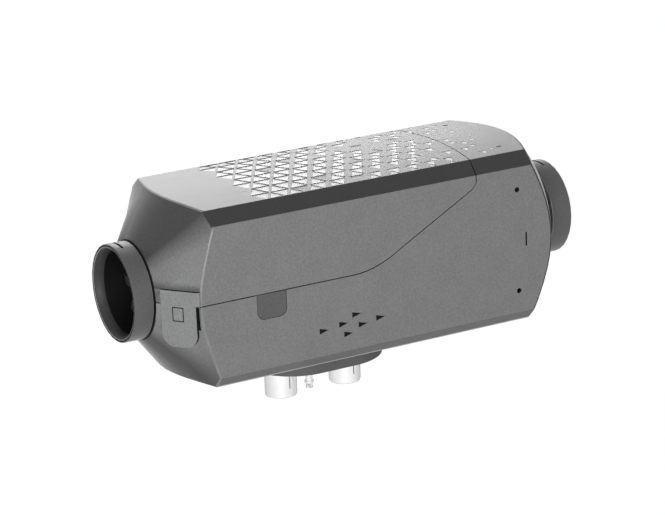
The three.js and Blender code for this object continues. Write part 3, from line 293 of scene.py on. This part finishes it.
def noise_of(tree, scale, stretch=(1, 1, 1)):
    """Noise on object coordinates, with the scale per metre."""
    place = tree.nodes.new("ShaderNodeTexCoord")
    mapping = tree.nodes.new("ShaderNodeMapping")
    mapping.inputs["Scale"].default_value = stretch
    noise = tree.nodes.new("ShaderNodeTexNoise")
    noise.inputs["Scale"].default_value = scale
    noise.inputs["Detail"].default_value = NOISE_DETAIL
    tree.links.new(place.outputs["Object"], mapping.inputs["Vector"])
    tree.links.new(mapping.outputs["Vector"], noise.inputs["Vector"])
    return noise.outputs["Fac"]


def tinted(tree, colour, factor):
    """The colour made darker and lighter by a factor that varies over the surface."""
    tint = tree.nodes.new("ShaderNodeVectorMath")
    tint.operation = "SCALE"
    tint.inputs[0].default_value = colour
    tree.links.new(factor, tint.inputs["Scale"])
    return tint.outputs["Vector"]


def bumped(tree, shader, height, strength, distance):
    bump = tree.nodes.new("ShaderNodeBump")
    bump.inputs["Strength"].default_value = strength
    bump.inputs["Distance"].default_value = distance
    tree.links.new(height, bump.inputs["Height"])
    tree.links.new(bump.outputs["Normal"], shader.inputs["Normal"])


def coloured(tree, kind, colour):
    """A shader of this kind in one colour."""
    shader = tree.nodes.new(kind)
    shader.inputs["Color"].default_value = colour
    return shader


def mix_at_output(tree, output_kind, share, first, second):
    """The first shader gives way to the second by the share."""
    mix = tree.nodes.new("ShaderNodeMixShader")
    output = tree.nodes.new(output_kind)
    tree.links.new(share, mix.inputs["Fac"])
    tree.links.new(first.outputs[0], mix.inputs[1])
    tree.links.new(second.outputs[0], mix.inputs[2])
    tree.links.new(mix.outputs[0], output.inputs["Surface"])


def sees_backdrop(tree):
    """1 for the rays that show the backdrop: camera, glossy and transmission rays."""
    path = tree.nodes.new("ShaderNodeLightPath")
    total = path.outputs["Is Camera Ray"]
    for ray in ("Is Glossy Ray", "Is Transmission Ray"):
        total = math_of(tree, "MAXIMUM", total, path.outputs[ray])
    return total


# ---------------------------------------------------------------------------
# Camera, world, floor and lights
# ---------------------------------------------------------------------------

def view_turn():
    """The camera's turn, from its way ahead and its roll."""
    level = math.cos(VIEW_DIP)
    ahead = Vector((math.sin(VIEW_TURN) * level, math.cos(VIEW_TURN) * level, -math.sin(VIEW_DIP)))
    return ahead.to_track_quat("-Z", "Y") @ Quaternion((0, 0, 1), VIEW_ROLL)


def add_camera():
    data = bpy.data.cameras.new("camera")
    data.lens = LENS
    data.sensor_width = SENSOR
    data.clip_end = VIEW_END
    camera = link(bpy.data.objects.new("camera", data))
    turn = view_turn()
    camera.rotation_mode = "QUATERNION"
    camera.rotation_quaternion = turn
    camera.location = MIDDLE + turn @ Vector((-VIEW_RIGHT, -VIEW_UP, VIEW_DISTANCE))
    bpy.context.scene.camera = camera


def room_strength(tree):
    """Light of the room by height: pale walls, and a dark ceiling."""
    place = tree.nodes.new("ShaderNodeTexCoord")
    parts = tree.nodes.new("ShaderNodeSeparateXYZ")
    tree.links.new(place.outputs["Generated"], parts.inputs[0])
    return ranged(tree, parts.outputs["Z"], WALL_LIGHT, CEILING_LIGHT, CEILING_STARTS, CEILING_FULL)


def add_world():
    world = bpy.data.worlds.new("studio")
    bpy.context.scene.world = world
    world.use_nodes = True
    tree = world.node_tree
    tree.nodes.clear()
    room = coloured(tree, "ShaderNodeBackground", ROOM_COLOUR)
    tree.links.new(room_strength(tree), room.inputs["Strength"])
    backdrop = coloured(tree, "ShaderNodeBackground", WHITE)
    backdrop.inputs["Strength"].default_value = 1
    mix_at_output(tree, "ShaderNodeOutputWorld", sees_backdrop(tree), room, backdrop)


def add_floor():
    """A white floor that fades into the backdrop, and still shows some shadow."""
    material = bpy.data.materials.new("white floor")
    material.use_nodes = True
    tree = material.node_tree
    tree.nodes.clear()
    paper = coloured(tree, "ShaderNodeBsdfDiffuse", FLOOR_PAPER)
    glow = coloured(tree, "ShaderNodeEmission", WHITE)
    glow.inputs["Strength"].default_value = FLOOR_GLOW
    share = math_of(tree, "MULTIPLY", sees_backdrop(tree), 1 - FLOOR_SHADOW)
    mix_at_output(tree, "ShaderNodeOutputMaterial", share, paper, glow)
    bm = bmesh.new()
    bmesh.ops.create_grid(bm, x_segments=1, y_segments=1, size=FLOOR_SIZE / 2)
    bmesh.ops.translate(bm, verts=bm.verts, vec=(0, 0, cad_box[0].z - FLOOR_GAP))
    floor = piece_of(bm, "floor", [material])


def add_softbox(name, place, size, power):
    """A square area lamp at a place given from the heater's middle, turned towards it."""
    data = bpy.data.lights.new(name, "AREA")
    data.shape = "SQUARE"
    data.size = size
    data.energy = power
    lamp = link(bpy.data.objects.new(name, data))
    lamp.location = MIDDLE + Vector(place)
    lamp.rotation_mode = "QUATERNION"
    lamp.rotation_quaternion = (-Vector(place)).to_track_quat("-Z", "Y")


# ---------------------------------------------------------------------------
# Materials
# ---------------------------------------------------------------------------

def surface(name):
    """A new material with its node tree and its Principled shader."""
    material = bpy.data.materials.new(name)
    material.use_nodes = True
    tree = material.node_tree
    return material, tree, tree.nodes["Principled BSDF"]


def moulded_plastic(name, colour, roughness, grain=0.5, specular=0.5, sheen=0.0, shade=None):
    """Fine-grained moulded plastic with slight clouding, and painted light and shade over it if one is given."""
    material, tree, shader = surface(name)
    fine = noise_of(tree, PLASTIC_GRAIN_SCALE)
    clouds = noise_of(tree, PLASTIC_CLOUD_SCALE)
    speckle = ranged(tree, fine, 1 - PLASTIC_SPECKLE, 1 + PLASTIC_SPECKLE)
    clouding = ranged(tree, clouds, -PLASTIC_CLOUDING, PLASTIC_CLOUDING)
    factor = math_of(tree, "ADD", speckle, clouding)
    if shade is not None:
        factor = math_of(tree, "MULTIPLY", factor, shade(tree))
    smoothest = roughness - PLASTIC_ROUGHNESS_SPREAD
    roughest = roughness + PLASTIC_ROUGHNESS_SPREAD
    tree.links.new(tinted(tree, colour, factor), shader.inputs["Base Color"])
    tree.links.new(ranged(tree, fine, smoothest, roughest), shader.inputs["Roughness"])
    shader.inputs["Specular IOR Level"].default_value = specular
    shader.inputs["Sheen Weight"].default_value = sheen
    shader.inputs["Sheen Roughness"].default_value = SHEEN_ROUGHNESS
    bumped(tree, shader, fine, grain, PLASTIC_GRAIN_HEIGHT)
    return material


def metal(name, colour, roughness, grain_scale, grain, stretch=(1, 1, 1), metallic=1.0):
    """Cast, turned or plated metal: the stretch draws the grain out into lines."""
    material, tree, shader = surface(name)
    fine = noise_of(tree, grain_scale, stretch)
    clouds = noise_of(tree, METAL_CLOUD_SCALE)
    speckle = ranged(tree, fine, METAL_SPECKLE_LOW, METAL_SPECKLE_HIGH)
    clouding = ranged(tree, clouds, -METAL_CLOUDING, METAL_CLOUDING)
    factor = math_of(tree, "ADD", speckle, clouding)
    smoothest = roughness - METAL_ROUGHNESS_SPREAD
    roughest = roughness + METAL_ROUGHNESS_SPREAD
    tree.links.new(tinted(tree, colour, factor), shader.inputs["Base Color"])
    tree.links.new(ranged(tree, clouds, smoothest, roughest), shader.inputs["Roughness"])
    shader.inputs["Metallic"].default_value = metallic
    bumped(tree, shader, fine, grain, METAL_GRAIN_HEIGHT)
    return material


def hood_painted_light_and_shade(tree):
    """Painted light and shade: lighter on the hood's flanks, darker above and below them, in the crease over the
    latch tabs and at the foot of the hoods.
    """
    place = tree.nodes.new("ShaderNodeTexCoord")
    centred = tree.nodes.new("ShaderNodeMapping")
    centred.inputs["Location"].default_value = (0, 0, -AXIS_Z)
    parts = tree.nodes.new("ShaderNodeSeparateXYZ")
    tree.links.new(place.outputs["Object"], centred.inputs["Vector"])
    tree.links.new(centred.outputs["Vector"], parts.inputs[0])
    height = parts.outputs["Z"]
    across = math_of(tree, "MAXIMUM", math_of(tree, "ABSOLUTE", parts.outputs["Y"]), MM)
    slant = math_of(tree, "DIVIDE", math_of(tree, "ABSOLUTE", height), across)
    flank = ranged(tree, slant, FLANK_LIGHT, BEYOND_FLANK, *FLANK_ENDS)
    over = ranged(tree, height, CREASE_SHADE, 1, LATCH_TOP, LATCH_TOP + CREASE_REACH)
    under = ranged(tree, height, 1, CREASE_SHADE, LATCH_TOP - CREASE_FOOT, LATCH_TOP)
    crease = math_of(tree, "MAXIMUM", over, under)
    foot = ranged(tree, height, FOOT_SHADE, 1, *FOOT_SHADE_HEIGHTS)
    return math_of(tree, "MULTIPLY", math_of(tree, "MULTIPLY", flank, crease), foot)


casing_plastic = moulded_plastic("casing plastic", (0.188, 0.189, 0.19), 0.45, grain=0.8, sheen=0.25)
# Painted highlight: paler plastic on the rounded edges of the casing and on the collars' rims
painted_highlight_edge_plastic = moulded_plastic("rounded edge plastic with painted highlight", (0.215, 0.217, 0.22), 0.42)
# Painted light: the top is a lighter copy of the casing plastic
painted_light_top_plastic = moulded_plastic("casing top plastic with painted light", (0.315, 0.317, 0.32), 0.42)
# Painted shade: the upper bevels are a much darker copy of the casing plastic
painted_shade_bevel_plastic = moulded_plastic(
    "casing bevel plastic with painted shade", (0.036, 0.036, 0.037), 0.5, grain=0.8, specular=0.3, sheen=0.1)
# Partly real, partly painted: the sunk triangles' floors are smoother, and their pale colour is a painted
# reflection
painted_reflection_cell_plastic = moulded_plastic("polished pattern plastic with painted reflection", (0.6, 0.6, 0.6), 0.25, grain=0.1)
# Painted shade: darker plastic on the walls of the sunk triangles
painted_shade_cell_wall_plastic = moulded_plastic("pattern wall plastic with painted shade", (0.17, 0.17, 0.17), 0.5)
# Painted shade: near-black plastic on the inside, on the walls of cuts and in the latch tabs' pockets
painted_shade_gap_plastic = moulded_plastic(
    "inner plastic with painted shade", (0.012, 0.012, 0.012), 0.6, grain=0.4, specular=0.15)
# Painted highlight: pale plastic along the foot of the lower bevels
painted_highlight_lower_edge_plastic = moulded_plastic("lower edge plastic with painted highlight", (0.5, 0.5, 0.5), 0.4)
# Painted shade: dark plastic in the collars' bores and on their necks
painted_shade_bore_plastic = moulded_plastic(
    "collar bore plastic with painted shade", (0.042, 0.042, 0.042), 0.5, grain=0.4, specular=0.2)
# Painted shade: near-black plastic deep in the bores and on the collars' mouths
painted_deep_shade_plastic = moulded_plastic(
    "deep bore plastic with painted shade", (0.005, 0.005, 0.005), 0.6, grain=0.4, specular=0.1)
blade_plastic = moulded_plastic("fan plastic", (0.015, 0.015, 0.016), 0.4, grain=0.3, specular=0.3)
# Painted highlight: paler plastic on the fan blades' leading edges
painted_highlight_blade_edge_plastic = moulded_plastic("fan blade edge plastic with painted highlight", (0.06, 0.06, 0.06), 0.4, grain=0.3)
# Painted light and shade: the hoods' plastic is lighter on the flanks and darker above, below, at the foot and in
# the crease over the latch tabs
painted_light_and_shade_hood_plastic = moulded_plastic(
    "hood plastic with painted light and shade", (0.188, 0.189, 0.19), 0.42, grain=0.8, specular=0.3, sheen=0.3, shade=hood_painted_light_and_shade)
# Painted shade: the lower bevels are a darker copy of the casing plastic
painted_shade_under_plastic = moulded_plastic(
    "lower bevel plastic with painted shade", (0.14, 0.141, 0.142), 0.5, grain=0.8, specular=0.3)
# Painted light: the latch tabs' faces are a lighter copy of the casing plastic
painted_light_latch_plastic = moulded_plastic("latch tab plastic with painted light", (0.24, 0.242, 0.245), 0.42)
collar_plastic = moulded_plastic("collar plastic", (0.088, 0.088, 0.09), 0.42, sheen=0.15)
dark_plastic = moulded_plastic("dark plastic", (0.022, 0.022, 0.024), 0.42)
black_ink = moulded_plastic("black print", (0.006, 0.006, 0.006), 0.7, grain=0.2, specular=0.1)
gasket_rubber = moulded_plastic("gasket rubber", (0.085, 0.085, 0.086), 0.7, grain=0.9)
bright_aluminium = metal(
    "bright aluminium", (0.9, 0.91, 0.9), 0.28, 900, 0.1, stretch=(1, 1, 12), metallic=0.35)
stub_aluminium = metal(
    "pipe stub aluminium", (0.93, 0.94, 0.93), 0.4, 1400, 0.03, stretch=(1, 1, 8), metallic=0.2)
# Painted shade: dark metal in the pipe stubs' grooves
painted_shade_groove_aluminium = metal("groove aluminium with painted shade", (0.12, 0.14, 0.13), 0.5, 900, 0.1)
cast_aluminium = metal("cast aluminium", (0.5, 0.51, 0.52), 0.5, 700, 0.6)
plain_steel = metal("plated steel", (0.5, 0.51, 0.52), 0.3, 900, 0.15)
burner_steel = metal("heat-tinted steel", (0.3, 0.25, 0.2), 0.4, 500, 0.25)
burner_fleece = metal("burner fleece", (0.32, 0.31, 0.29), 0.8, 1600, 1.0)
lamination_steel = metal(
    "stacked sheet steel", (0.2, 0.205, 0.21), 0.5, 300, 0.5, stretch=(14, 1, 1))

# Materials of the casing shells, and the names of their places in the list
SHELL_MATERIALS = [
    casing_plastic, painted_light_top_plastic, painted_shade_bevel_plastic, painted_reflection_cell_plastic, painted_shade_cell_wall_plastic, black_ink,
    painted_shade_gap_plastic, painted_highlight_edge_plastic, painted_light_and_shade_hood_plastic, painted_shade_under_plastic, painted_light_latch_plastic, painted_highlight_lower_edge_plastic,
]
SIDE, TOP, BEVEL, CELL_FLOOR, CELL_EDGE, MARK = range(6)
GAP, EDGE, HOOD, UNDER, LATCH, LOWER_EDGE = range(6, 12)

COLLAR_MATERIALS = [collar_plastic, painted_shade_bore_plastic, painted_deep_shade_plastic, painted_highlight_edge_plastic]
COLLAR_BORE, COLLAR_DEEP, COLLAR_RIM = range(1, 4)
FAN_MATERIALS = [blade_plastic, painted_highlight_blade_edge_plastic]
BLADE_EDGE = 1
STUB_MATERIALS = [stub_aluminium, painted_shade_groove_aluminium]
GROOVE = 1

# Parts in one material: the slot that the frame gives each, and the slots' materials
SLOT_OF = {
    "cable_grommet": "collar_plastic",
    "flange_gasket": "gasket_rubber",
    "fuel_pipe": "bright_aluminium",
    "heat_exchanger": "cast_aluminium",
    "combustion_chamber": "burner_steel",
    "flame_tube": "burner_steel",
    "evaporator_pad": "burner_fleece",
    "burner_gasket": "gasket_rubber",
    "glow_plug": "plain_steel",
    "glow_plug_seal": "gasket_rubber",
    "blower_housing": "cast_aluminium",
    "blower_cover": "cast_aluminium",
    "motor_can": "plain_steel",
    "motor_stator": "lamination_steel",
    "front_bearing": "plain_steel",
    "rear_bearing": "plain_steel",
    "control_case": "dark_plastic",
    "control_lid": "dark_plastic",
    "overheat_sensor": "dark_plastic",
    "sensor_clip": "plain_steel",
    "motor_shaft": "plain_steel",
    "motor_armature": "lamination_steel",
    "fan_nut": "plain_steel",
    "combustion_impeller": "cast_aluminium",
    "blower_screw_1": "plain_steel",
    "blower_screw_2": "plain_steel",
    "blower_screw_3": "plain_steel",
    "blower_screw_4": "plain_steel",
}
FINISH = {
    "collar_plastic": collar_plastic,
    "dark_plastic": dark_plastic,
    "gasket_rubber": gasket_rubber,
    "bright_aluminium": bright_aluminium,
    "cast_aluminium": cast_aluminium,
    "plain_steel": plain_steel,
    "burner_steel": burner_steel,
    "burner_fleece": burner_fleece,
    "lamination_steel": lamination_steel,
}


# ---------------------------------------------------------------------------
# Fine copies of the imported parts
# ---------------------------------------------------------------------------

def welded(node):
    """The part's mesh with its loose triangles joined and its flat faces made whole."""
    bm = bmesh.new()
    bm.from_mesh(frame["nodes"][node].data)
    bmesh.ops.remove_doubles(bm, verts=bm.verts, dist=WELD)
    bmesh.ops.dissolve_limit(bm, angle_limit=FLAT, verts=bm.verts, edges=bm.edges)
    bm.normal_update()
    return bm


def soften(bm, edges, width, segments, material=SAME_AS_BESIDE):
    """Rounds the edges off. The new faces take the material, or that of the faces beside them."""
    bmesh.ops.bevel(bm, geom=edges, offset=width, offset_type="OFFSET", segments=segments,
                    profile=0.5, affect="EDGES", clamp_overlap=False, material=material)


def shade(piece):
    """Smooth, except over sharp edges."""
    piece.data.shade_smooth()
    piece.data.set_sharp_from_angle(angle=SMOOTH_UNDER)
    weighted = piece.modifiers.new("even shading", "WEIGHTED_NORMAL")
    weighted.keep_sharp = True


def seat_on(piece, node):
    body = next(b for b, names in frame["record"]["behaviour"]["bodies"].items() if node in names)
    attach(piece, body)
    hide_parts(node)


def fine_part(bm, node, materials):
    piece = piece_of(bm, f"fine_{node}", materials)
    shade(piece)
    seat_on(piece, node)


def turned(bm, verts, angle, axis):
    bmesh.ops.rotate(bm, verts=verts, matrix=Matrix.Rotation(angle, 3, axis))


def from_axis(place):
    """The way from the heater's axis to a place, square to the axis."""
    return Vector((0, place.y, place.z - AXIS_Z))


def cutter(bm, name):
    bmesh.ops.recalc_face_normals(bm, faces=bm.faces)
    return piece_of(bm, name)


def carve(piece, tools):
    """The tools' shapes are cut out of the piece, and their materials line the cuts."""
    for tool in tools:
        cut = piece.modifiers.new("carve", "BOOLEAN")
        cut.operation = "DIFFERENCE"
        cut.solver = "EXACT"
        cut.material_mode = "INDEX"
        cut.object = tool
    scene_state = bpy.context.evaluated_depsgraph_get()
    carved = bpy.data.meshes.new_from_object(piece.evaluated_get(scene_state))
    piece.modifiers.clear()
    piece.data = carved


# ---------------------------------------------------------------------------
# Cutters for the top's pattern and the arrows on the side
# ---------------------------------------------------------------------------

def top_height(y):
    """Height of the crowned top at this distance from the middle."""
    return TOP_EDGE_Z + TOP_CROWN * (1 - (y / TOP_HALF_WIDTH) ** 2)


def way_along(x, start, end):
    return min(max((x - start) / (end - start), 0), 1)


def cell_share(x):
    """Side of a cell at this place as a share of the lattice's."""
    way = way_along(x, PATTERN_START, PATTERN_END)
    return CELL_SHARE_START - (CELL_SHARE_START - CELL_SHARE_END) * way ** CELL_SHRINK_POWER


def add_cell(bm, corner, turn, floor):
    """A sunk triangle that keeps one corner of the lattice, in plan from the heater's middle."""
    reach = CELL_SIDE * cell_share(corner.x) / math.sqrt(3)
    radius = reach - 2 * CELL_MARGIN
    centre = corner + Matrix.Rotation(turn + CELL_TURN, 2) @ Vector((reach, 0))
    if abs(centre.y) > TOP_HALF_WIDTH + radius / 2:
        return
    shallow = cell_share(corner.x) / CELL_SHARE_START
    deep = CELL_DEPTH * shallow
    wall = CELL_WALL * shallow
    made = bmesh.ops.create_cone(bm, cap_ends=True, segments=3, radius1=radius - 2 * wall,
                                 radius2=radius + 2 * wall * CELL_PROUD / deep,
                                 depth=deep + CELL_PROUD)
    verts = made["verts"]
    for face in {face for vert in verts for face in vert.link_faces}:
        face.normal_update()
        # Floors take their material, walls the darker plastic of painted shade
        face.material_index = floor if face.normal.z < -CELL_FLOOR_FACING else CELL_EDGE
    lean = math.atan(-2 * TOP_CROWN * centre.y / TOP_HALF_WIDTH ** 2)
    height = top_height(centre.y) + (CELL_PROUD - deep) / 2
    turned(bm, verts, turn, "Z")
    turned(bm, verts, lean, "X")
    bmesh.ops.translate(bm, verts=verts, vec=(MIDDLE.x + centre.x, centre.y, height))


def cell_floor(x, chance):
    """The material of a cell's floor, or nothing where the top stays plain."""
    plain = PLAIN_CHANCE * way_along(x, PLAIN_FROM, PATTERN_END)
    if chance.random() < plain:
        return None
    return TOP if chance.random() < MATT_CHANCE else CELL_FLOOR


def add_row(bm, row, chance):
    """The two kinds of triangles between one line of corners and the next."""
    far = PATTERN_FIRST_ROW - row * ROW_STEP
    for step in range(math.ceil((PATTERN_END - PATTERN_START) / CELL_SIDE)):
        far_x = PATTERN_START + (step + (row + 1) % 2 / 2) * CELL_SIDE
        near_x = PATTERN_START + (step + row % 2 / 2) * CELL_SIDE
        cells = (
            (Vector((far_x, far)), math.pi, far_x + CELL_SIDE),
            (Vector((near_x + CELL_SIDE, far - ROW_STEP)), 0, near_x + CELL_SIDE),
        )
        for corner, turn, reach in cells:
            floor = cell_floor(corner.x, chance)
            if floor is not None and reach < PATTERN_END:
                add_cell(bm, corner, turn, floor)


def cut_level(bm, place, outward_way):
    """Everything past a plane goes, and the cut is closed."""
    parts = bm.verts[:] + bm.edges[:] + bm.faces[:]
    bmesh.ops.bisect_plane(bm, geom=parts, dist=ON_PLANE, plane_co=place, plane_no=outward_way,
                           clear_outer=True)
    rims = [edge for edge in bm.edges if edge.is_boundary]
    # The closed cuts are walls too, in the darker plastic of painted shade
    for face in bmesh.ops.holes_fill(bm, edges=rims, sides=0)["faces"]:
        face.material_index = CELL_EDGE


def pattern_cutter():
    chance = random.Random(PATTERN_SEED)
    bm = bmesh.new()
    for row in range(PATTERN_ROWS):
        add_row(bm, row, chance)
    for side in (-1, 1):
        cut_level(bm, (0, side * (TOP_HALF_WIDTH - CELL_EDGE_GAP), 0), (0, side, 0))
    return cutter(bm, "pattern cutter")


def arrow_cutter():
    """Flat triangles that point along the heater, sunk in the side with the grommet."""
    reach = 2 * ARROW_LENGTH / 3
    flattening = ARROW_HEIGHT / (2 * ARROW_LENGTH / math.sqrt(3))
    bm = bmesh.new()
    for x, z in ARROW_PLACES:
        made = bmesh.ops.create_cone(bm, cap_ends=True, segments=3, radius1=reach,
                                     radius2=reach, depth=2 * ARROW_DEPTH)
        verts = made["verts"]
        bmesh.ops.scale(bm, verts=verts, vec=(flattening, 1, 1))
        turned(bm, verts, math.radians(-90), "Z")
        turned(bm, verts, math.radians(90), "X")
        place = MIDDLE + Vector((x * MM + ARROW_LENGTH / 3, 0, z * MM))
        bmesh.ops.translate(bm, verts=verts, vec=(place.x, -HALF_WIDTH, place.z))
    for face in bm.faces:
        face.material_index = MARK
    return cutter(bm, "arrow cutter")


# ---------------------------------------------------------------------------
# Casing shells
# ---------------------------------------------------------------------------

def outward(face):
    """True for faces of the casing's outside."""
    centre = face.calc_center_median()
    radial = from_axis(centre)
    if radial.length < WELD:
        return False
    side_cut = abs(face.normal.y) < CUT_FACING and abs(centre.y) > HALF_WIDTH - CUT_REACH
    between_bevels = abs(centre.z - AXIS_Z) < TOP_EDGE_Z - AXIS_Z - BEVEL_DOWN
    if side_cut and between_bevels:
        return False
    return face.normal.dot(radial.normalized()) > OUT_FACING


def on_bevel(normal, rise, least):
    """True on a long bevel. The rise is the normal's part up, or down on a lower bevel."""
    if abs(normal.x) > BEVEL_ALONG or abs(normal.y) < BEVEL_SIDEWAYS:
        return False
    return least < rise < BEVEL_STEEPEST


def casing_creases(bm, lengthwise):
    """Edges between outside faces that meet at a clear angle, along the casing or round it."""
    creases = []
    for edge in bm.edges:
        if len(edge.link_faces) != 2 or not edge.is_convex:
            continue
        if not CREASE_LOW < edge.calc_face_angle() < CREASE_HIGH:
            continue
        way = (edge.verts[1].co - edge.verts[0].co).normalized()
        if (abs(way.x) > EDGE_ALONG) != lengthwise or edge.calc_length() < CREASE_SHORTEST:
            continue
        if all(outward(face) for face in edge.link_faces):
            creases.append(edge)
    return creases


def latch_flank(y):
    """Way out of the hood's flank on this side."""
    return Vector((-FLANK_OUT, math.copysign(1, y), 0)).normalized()


def latch_material(face, tab_plane):
    """The material of a face of a latch tab or its pocket, or nothing for other faces."""
    centre = face.calc_center_median()
    if centre.x > LATCH_REACH or abs(centre.y) < LATCH_NEAR:
        return None
    if not LATCH_LOW < centre.z - AXIS_Z < LATCH_TOP + LATCH_OVER:
        return None
    flank = latch_flank(centre.y)
    facing = face.normal.dot(flank)
    if facing < POCKET_FACING:
        # Walls of the pocket take the near-black plastic of painted shade
        return GAP
    if facing < FLANK_FACING:
        return None
    # Tab faces take the lighter plastic of painted light, their marked squares the black print
    return LATCH if tab_plane - flank.dot(centre) < LATCH_SUNK else MARK


def casing_material(face):
    """The material of any other face, by its place and the way it faces."""
    centre = face.calc_center_median()
    normal = face.normal
    if not outward(face):
        # Faces inside and on the walls of cuts take the near-black plastic of painted shade
        return GAP
    if abs(normal.x) > HOOD_FACING:
        # Hood faces take the plastic with painted light and shade
        return HOOD
    if centre.z < AXIS_Z:
        # The lower bevels take the darker plastic of painted shade
        return UNDER if on_bevel(normal, -normal.z, LOWER_BEVEL_RISE) else SIDE
    # Upward faces of the top take its lighter plastic of painted light
    if normal.z > TOP_FACING and centre.z > TOP_EDGE_Z - TOP_EDGE_BAND:
        return TOP
    # The upper bevels take the darker plastic of painted shade
    return BEVEL if on_bevel(normal, normal.z, UPPER_BEVEL_RISE) else SIDE


def paint_casing(bm):
    """The sides, hoods, top, bevels and latch tabs, and painted shade on the inside, on the walls of the cuts
    through the sides and in the latch tabs' pockets.
    """
    centres = [face.calc_center_median() for face in bm.faces]
    tab_plane = max(latch_flank(place.y).dot(place) for place in centres if place.x < LATCH_REACH)
    for face in bm.faces:
        latch = latch_material(face, tab_plane)
        face.material_index = casing_material(face) if latch is None else latch


def paint_bevel_edge_shade(bm):
    """Painted shade: rounded edges on the upper bevels and at the outlet's hood take the bevels' dark plastic."""
    for face in bm.faces:
        centre = face.calc_center_median()
        on_upper_bevel = TOP_EDGE_Z - BEVEL_DOWN < centre.z < TOP_EDGE_Z - TOP_EDGE_BAND
        if face.material_index == EDGE and (centre.x > MIDDLE.x or on_upper_bevel):
            face.material_index = BEVEL


def paint_lower_bevel_highlight(bm):
    """A painted highlight: a pale line along the foot of the lower bevels."""
    level = shell_low.z + LOWER_EDGE_HEIGHT
    strips = [face for face in bm.faces if face.material_index == UNDER]
    edges = {edge for face in strips for edge in face.edges}
    verts = {vert for face in strips for vert in face.verts}
    bmesh.ops.bisect_plane(bm, geom=strips + list(edges) + list(verts), dist=ON_PLANE,
                           plane_co=(0, 0, level), plane_no=(0, 0, 1))
    for face in bm.faces:
        if face.material_index == UNDER and face.calc_center_median().z < level:
            face.material_index = LOWER_EDGE


def casing_shell(node, name, tools):
    bm = welded(node)
    paint_casing(bm)
    # Edges round the casing take the paler plastic of a painted highlight
    soften(bm, casing_creases(bm, False), HOOD_ROUNDING, HOOD_SEGMENTS, EDGE)
    paint_bevel_edge_shade(bm)
    soften(bm, casing_creases(bm, True), EDGE_ROUNDING, EDGE_SEGMENTS)
    paint_lower_bevel_highlight(bm)
    for vert in bm.verts:
        vert.co.y = min(max(vert.co.y, -HALF_WIDTH), HALF_WIDTH)
    piece = piece_of(bm, name, SHELL_MATERIALS)
    carve(piece, tools)
    shade(piece)
    seat_on(piece, node)


# ---------------------------------------------------------------------------
# Collars, fan and pipe stubs
# ---------------------------------------------------------------------------

def turned_rim(edge):
    """True for the sharp round edges at the collar's two ends."""
    if len(edge.link_faces) != 2 or edge.calc_face_angle() < RIM_ANGLE:
        return False
    level = abs(edge.verts[0].co.x - edge.verts[1].co.x) < WELD
    return level and RIM_SHORTEST < edge.calc_length()


def duct_collar(node):
    """The collar, with painted shade in its bore, on its neck and on its mouth's end face, darkest deep in the
    bore and on the mouth, and a painted highlight on its rims.
    """
    bm = welded(node)
    low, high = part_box(node)
    mouth = low.x if low.x < MIDDLE.x else high.x
    for face in bm.faces:
        centre = face.calc_center_median()
        depth = abs(centre.x - mouth)
        radial = from_axis(centre)
        if radial.length > 0 and face.normal.dot(radial.normalized()) < -BORE_FACING:
            face.material_index = COLLAR_BORE if depth < RING_DEPTH else COLLAR_DEEP
        elif depth > NECK_STARTS:
            face.material_index = COLLAR_BORE
        elif abs(face.normal.x) > END_FACING and depth < MOUTH_DEPTH:
            face.material_index = COLLAR_DEEP
    rims = [edge for edge in bm.edges if edge.is_convex and turned_rim(edge)]
    # The rounded rims take the paler plastic of a painted highlight
    soften(bm, rims, RIM_ROUNDING, EDGE_SEGMENTS, COLLAR_RIM)
    fine_part(bm, node, COLLAR_MATERIALS)


def blower_fan():
    """The fan, with a painted highlight on the leading edges of its blades, paler than the rest."""
    bm = welded("air_fan")
    for face in bm.faces:
        if face.normal.x < -BLADE_FACING and from_axis(face.calc_center_median()).length > BLADE_ROOT:
            face.material_index = BLADE_EDGE
    fine_part(bm, "air_fan", FAN_MATERIALS)


def groove_cutter(node):
    """Two upright bars in the stub's wall, at the places of its grooves."""
    low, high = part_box(node)
    radius = (high.x - low.x) / 2
    size = (STUB_GROOVE_WIDTH, 2 * STUB_GROOVE_DEPTH, -STUB_GROOVE_LOW)
    bm = bmesh.new()
    for turn in STUB_GROOVES:
        verts = bmesh.ops.create_cube(bm, size=1)["verts"]
        bmesh.ops.scale(bm, verts=verts, vec=size)
        bmesh.ops.translate(bm, verts=verts, vec=(0, -radius, STUB_GROOVE_LOW / 2))
        turned(bm, verts, turn, "Z")
        bmesh.ops.translate(bm, verts=verts, vec=((low.x + high.x) / 2, (low.y + high.y) / 2, 0))
    for face in bm.faces:
        face.material_index = GROOVE
    return cutter(bm, "groove cutter")


def pipe_stub(node):
    """A stub with its grooves cut, bright outside and darker in the grooves with painted shade."""
    grooves = groove_cutter(node)
    piece = piece_of(welded(node), f"fine_{node}", STUB_MATERIALS)
    carve(piece, [grooves])
    bpy.data.objects.remove(grooves)
    shade(piece)
    seat_on(piece, node)


# ---------------------------------------------------------------------------
# The object
# ---------------------------------------------------------------------------

add_camera()
add_world()
add_floor()
for softbox in SOFTBOXES:
    add_softbox(*softbox)
pattern = pattern_cutter()
arrows = arrow_cutter()
casing_shell("lower_cover", "lower_shell", (pattern, arrows))
casing_shell("upper_cover", "upper_shell", (pattern,))
bpy.data.objects.remove(pattern)
bpy.data.objects.remove(arrows)
for collar in ("intake_collar", "outlet_collar"):
    duct_collar(collar)
blower_fan()
for stub in ("intake_stub", "exhaust_stub"):
    pipe_stub(stub)
for node, slot in SLOT_OF.items():
    fine_part(welded(node), node, [FINISH[slot]])

bpy.context.scene.view_settings.view_transform = "Standard"
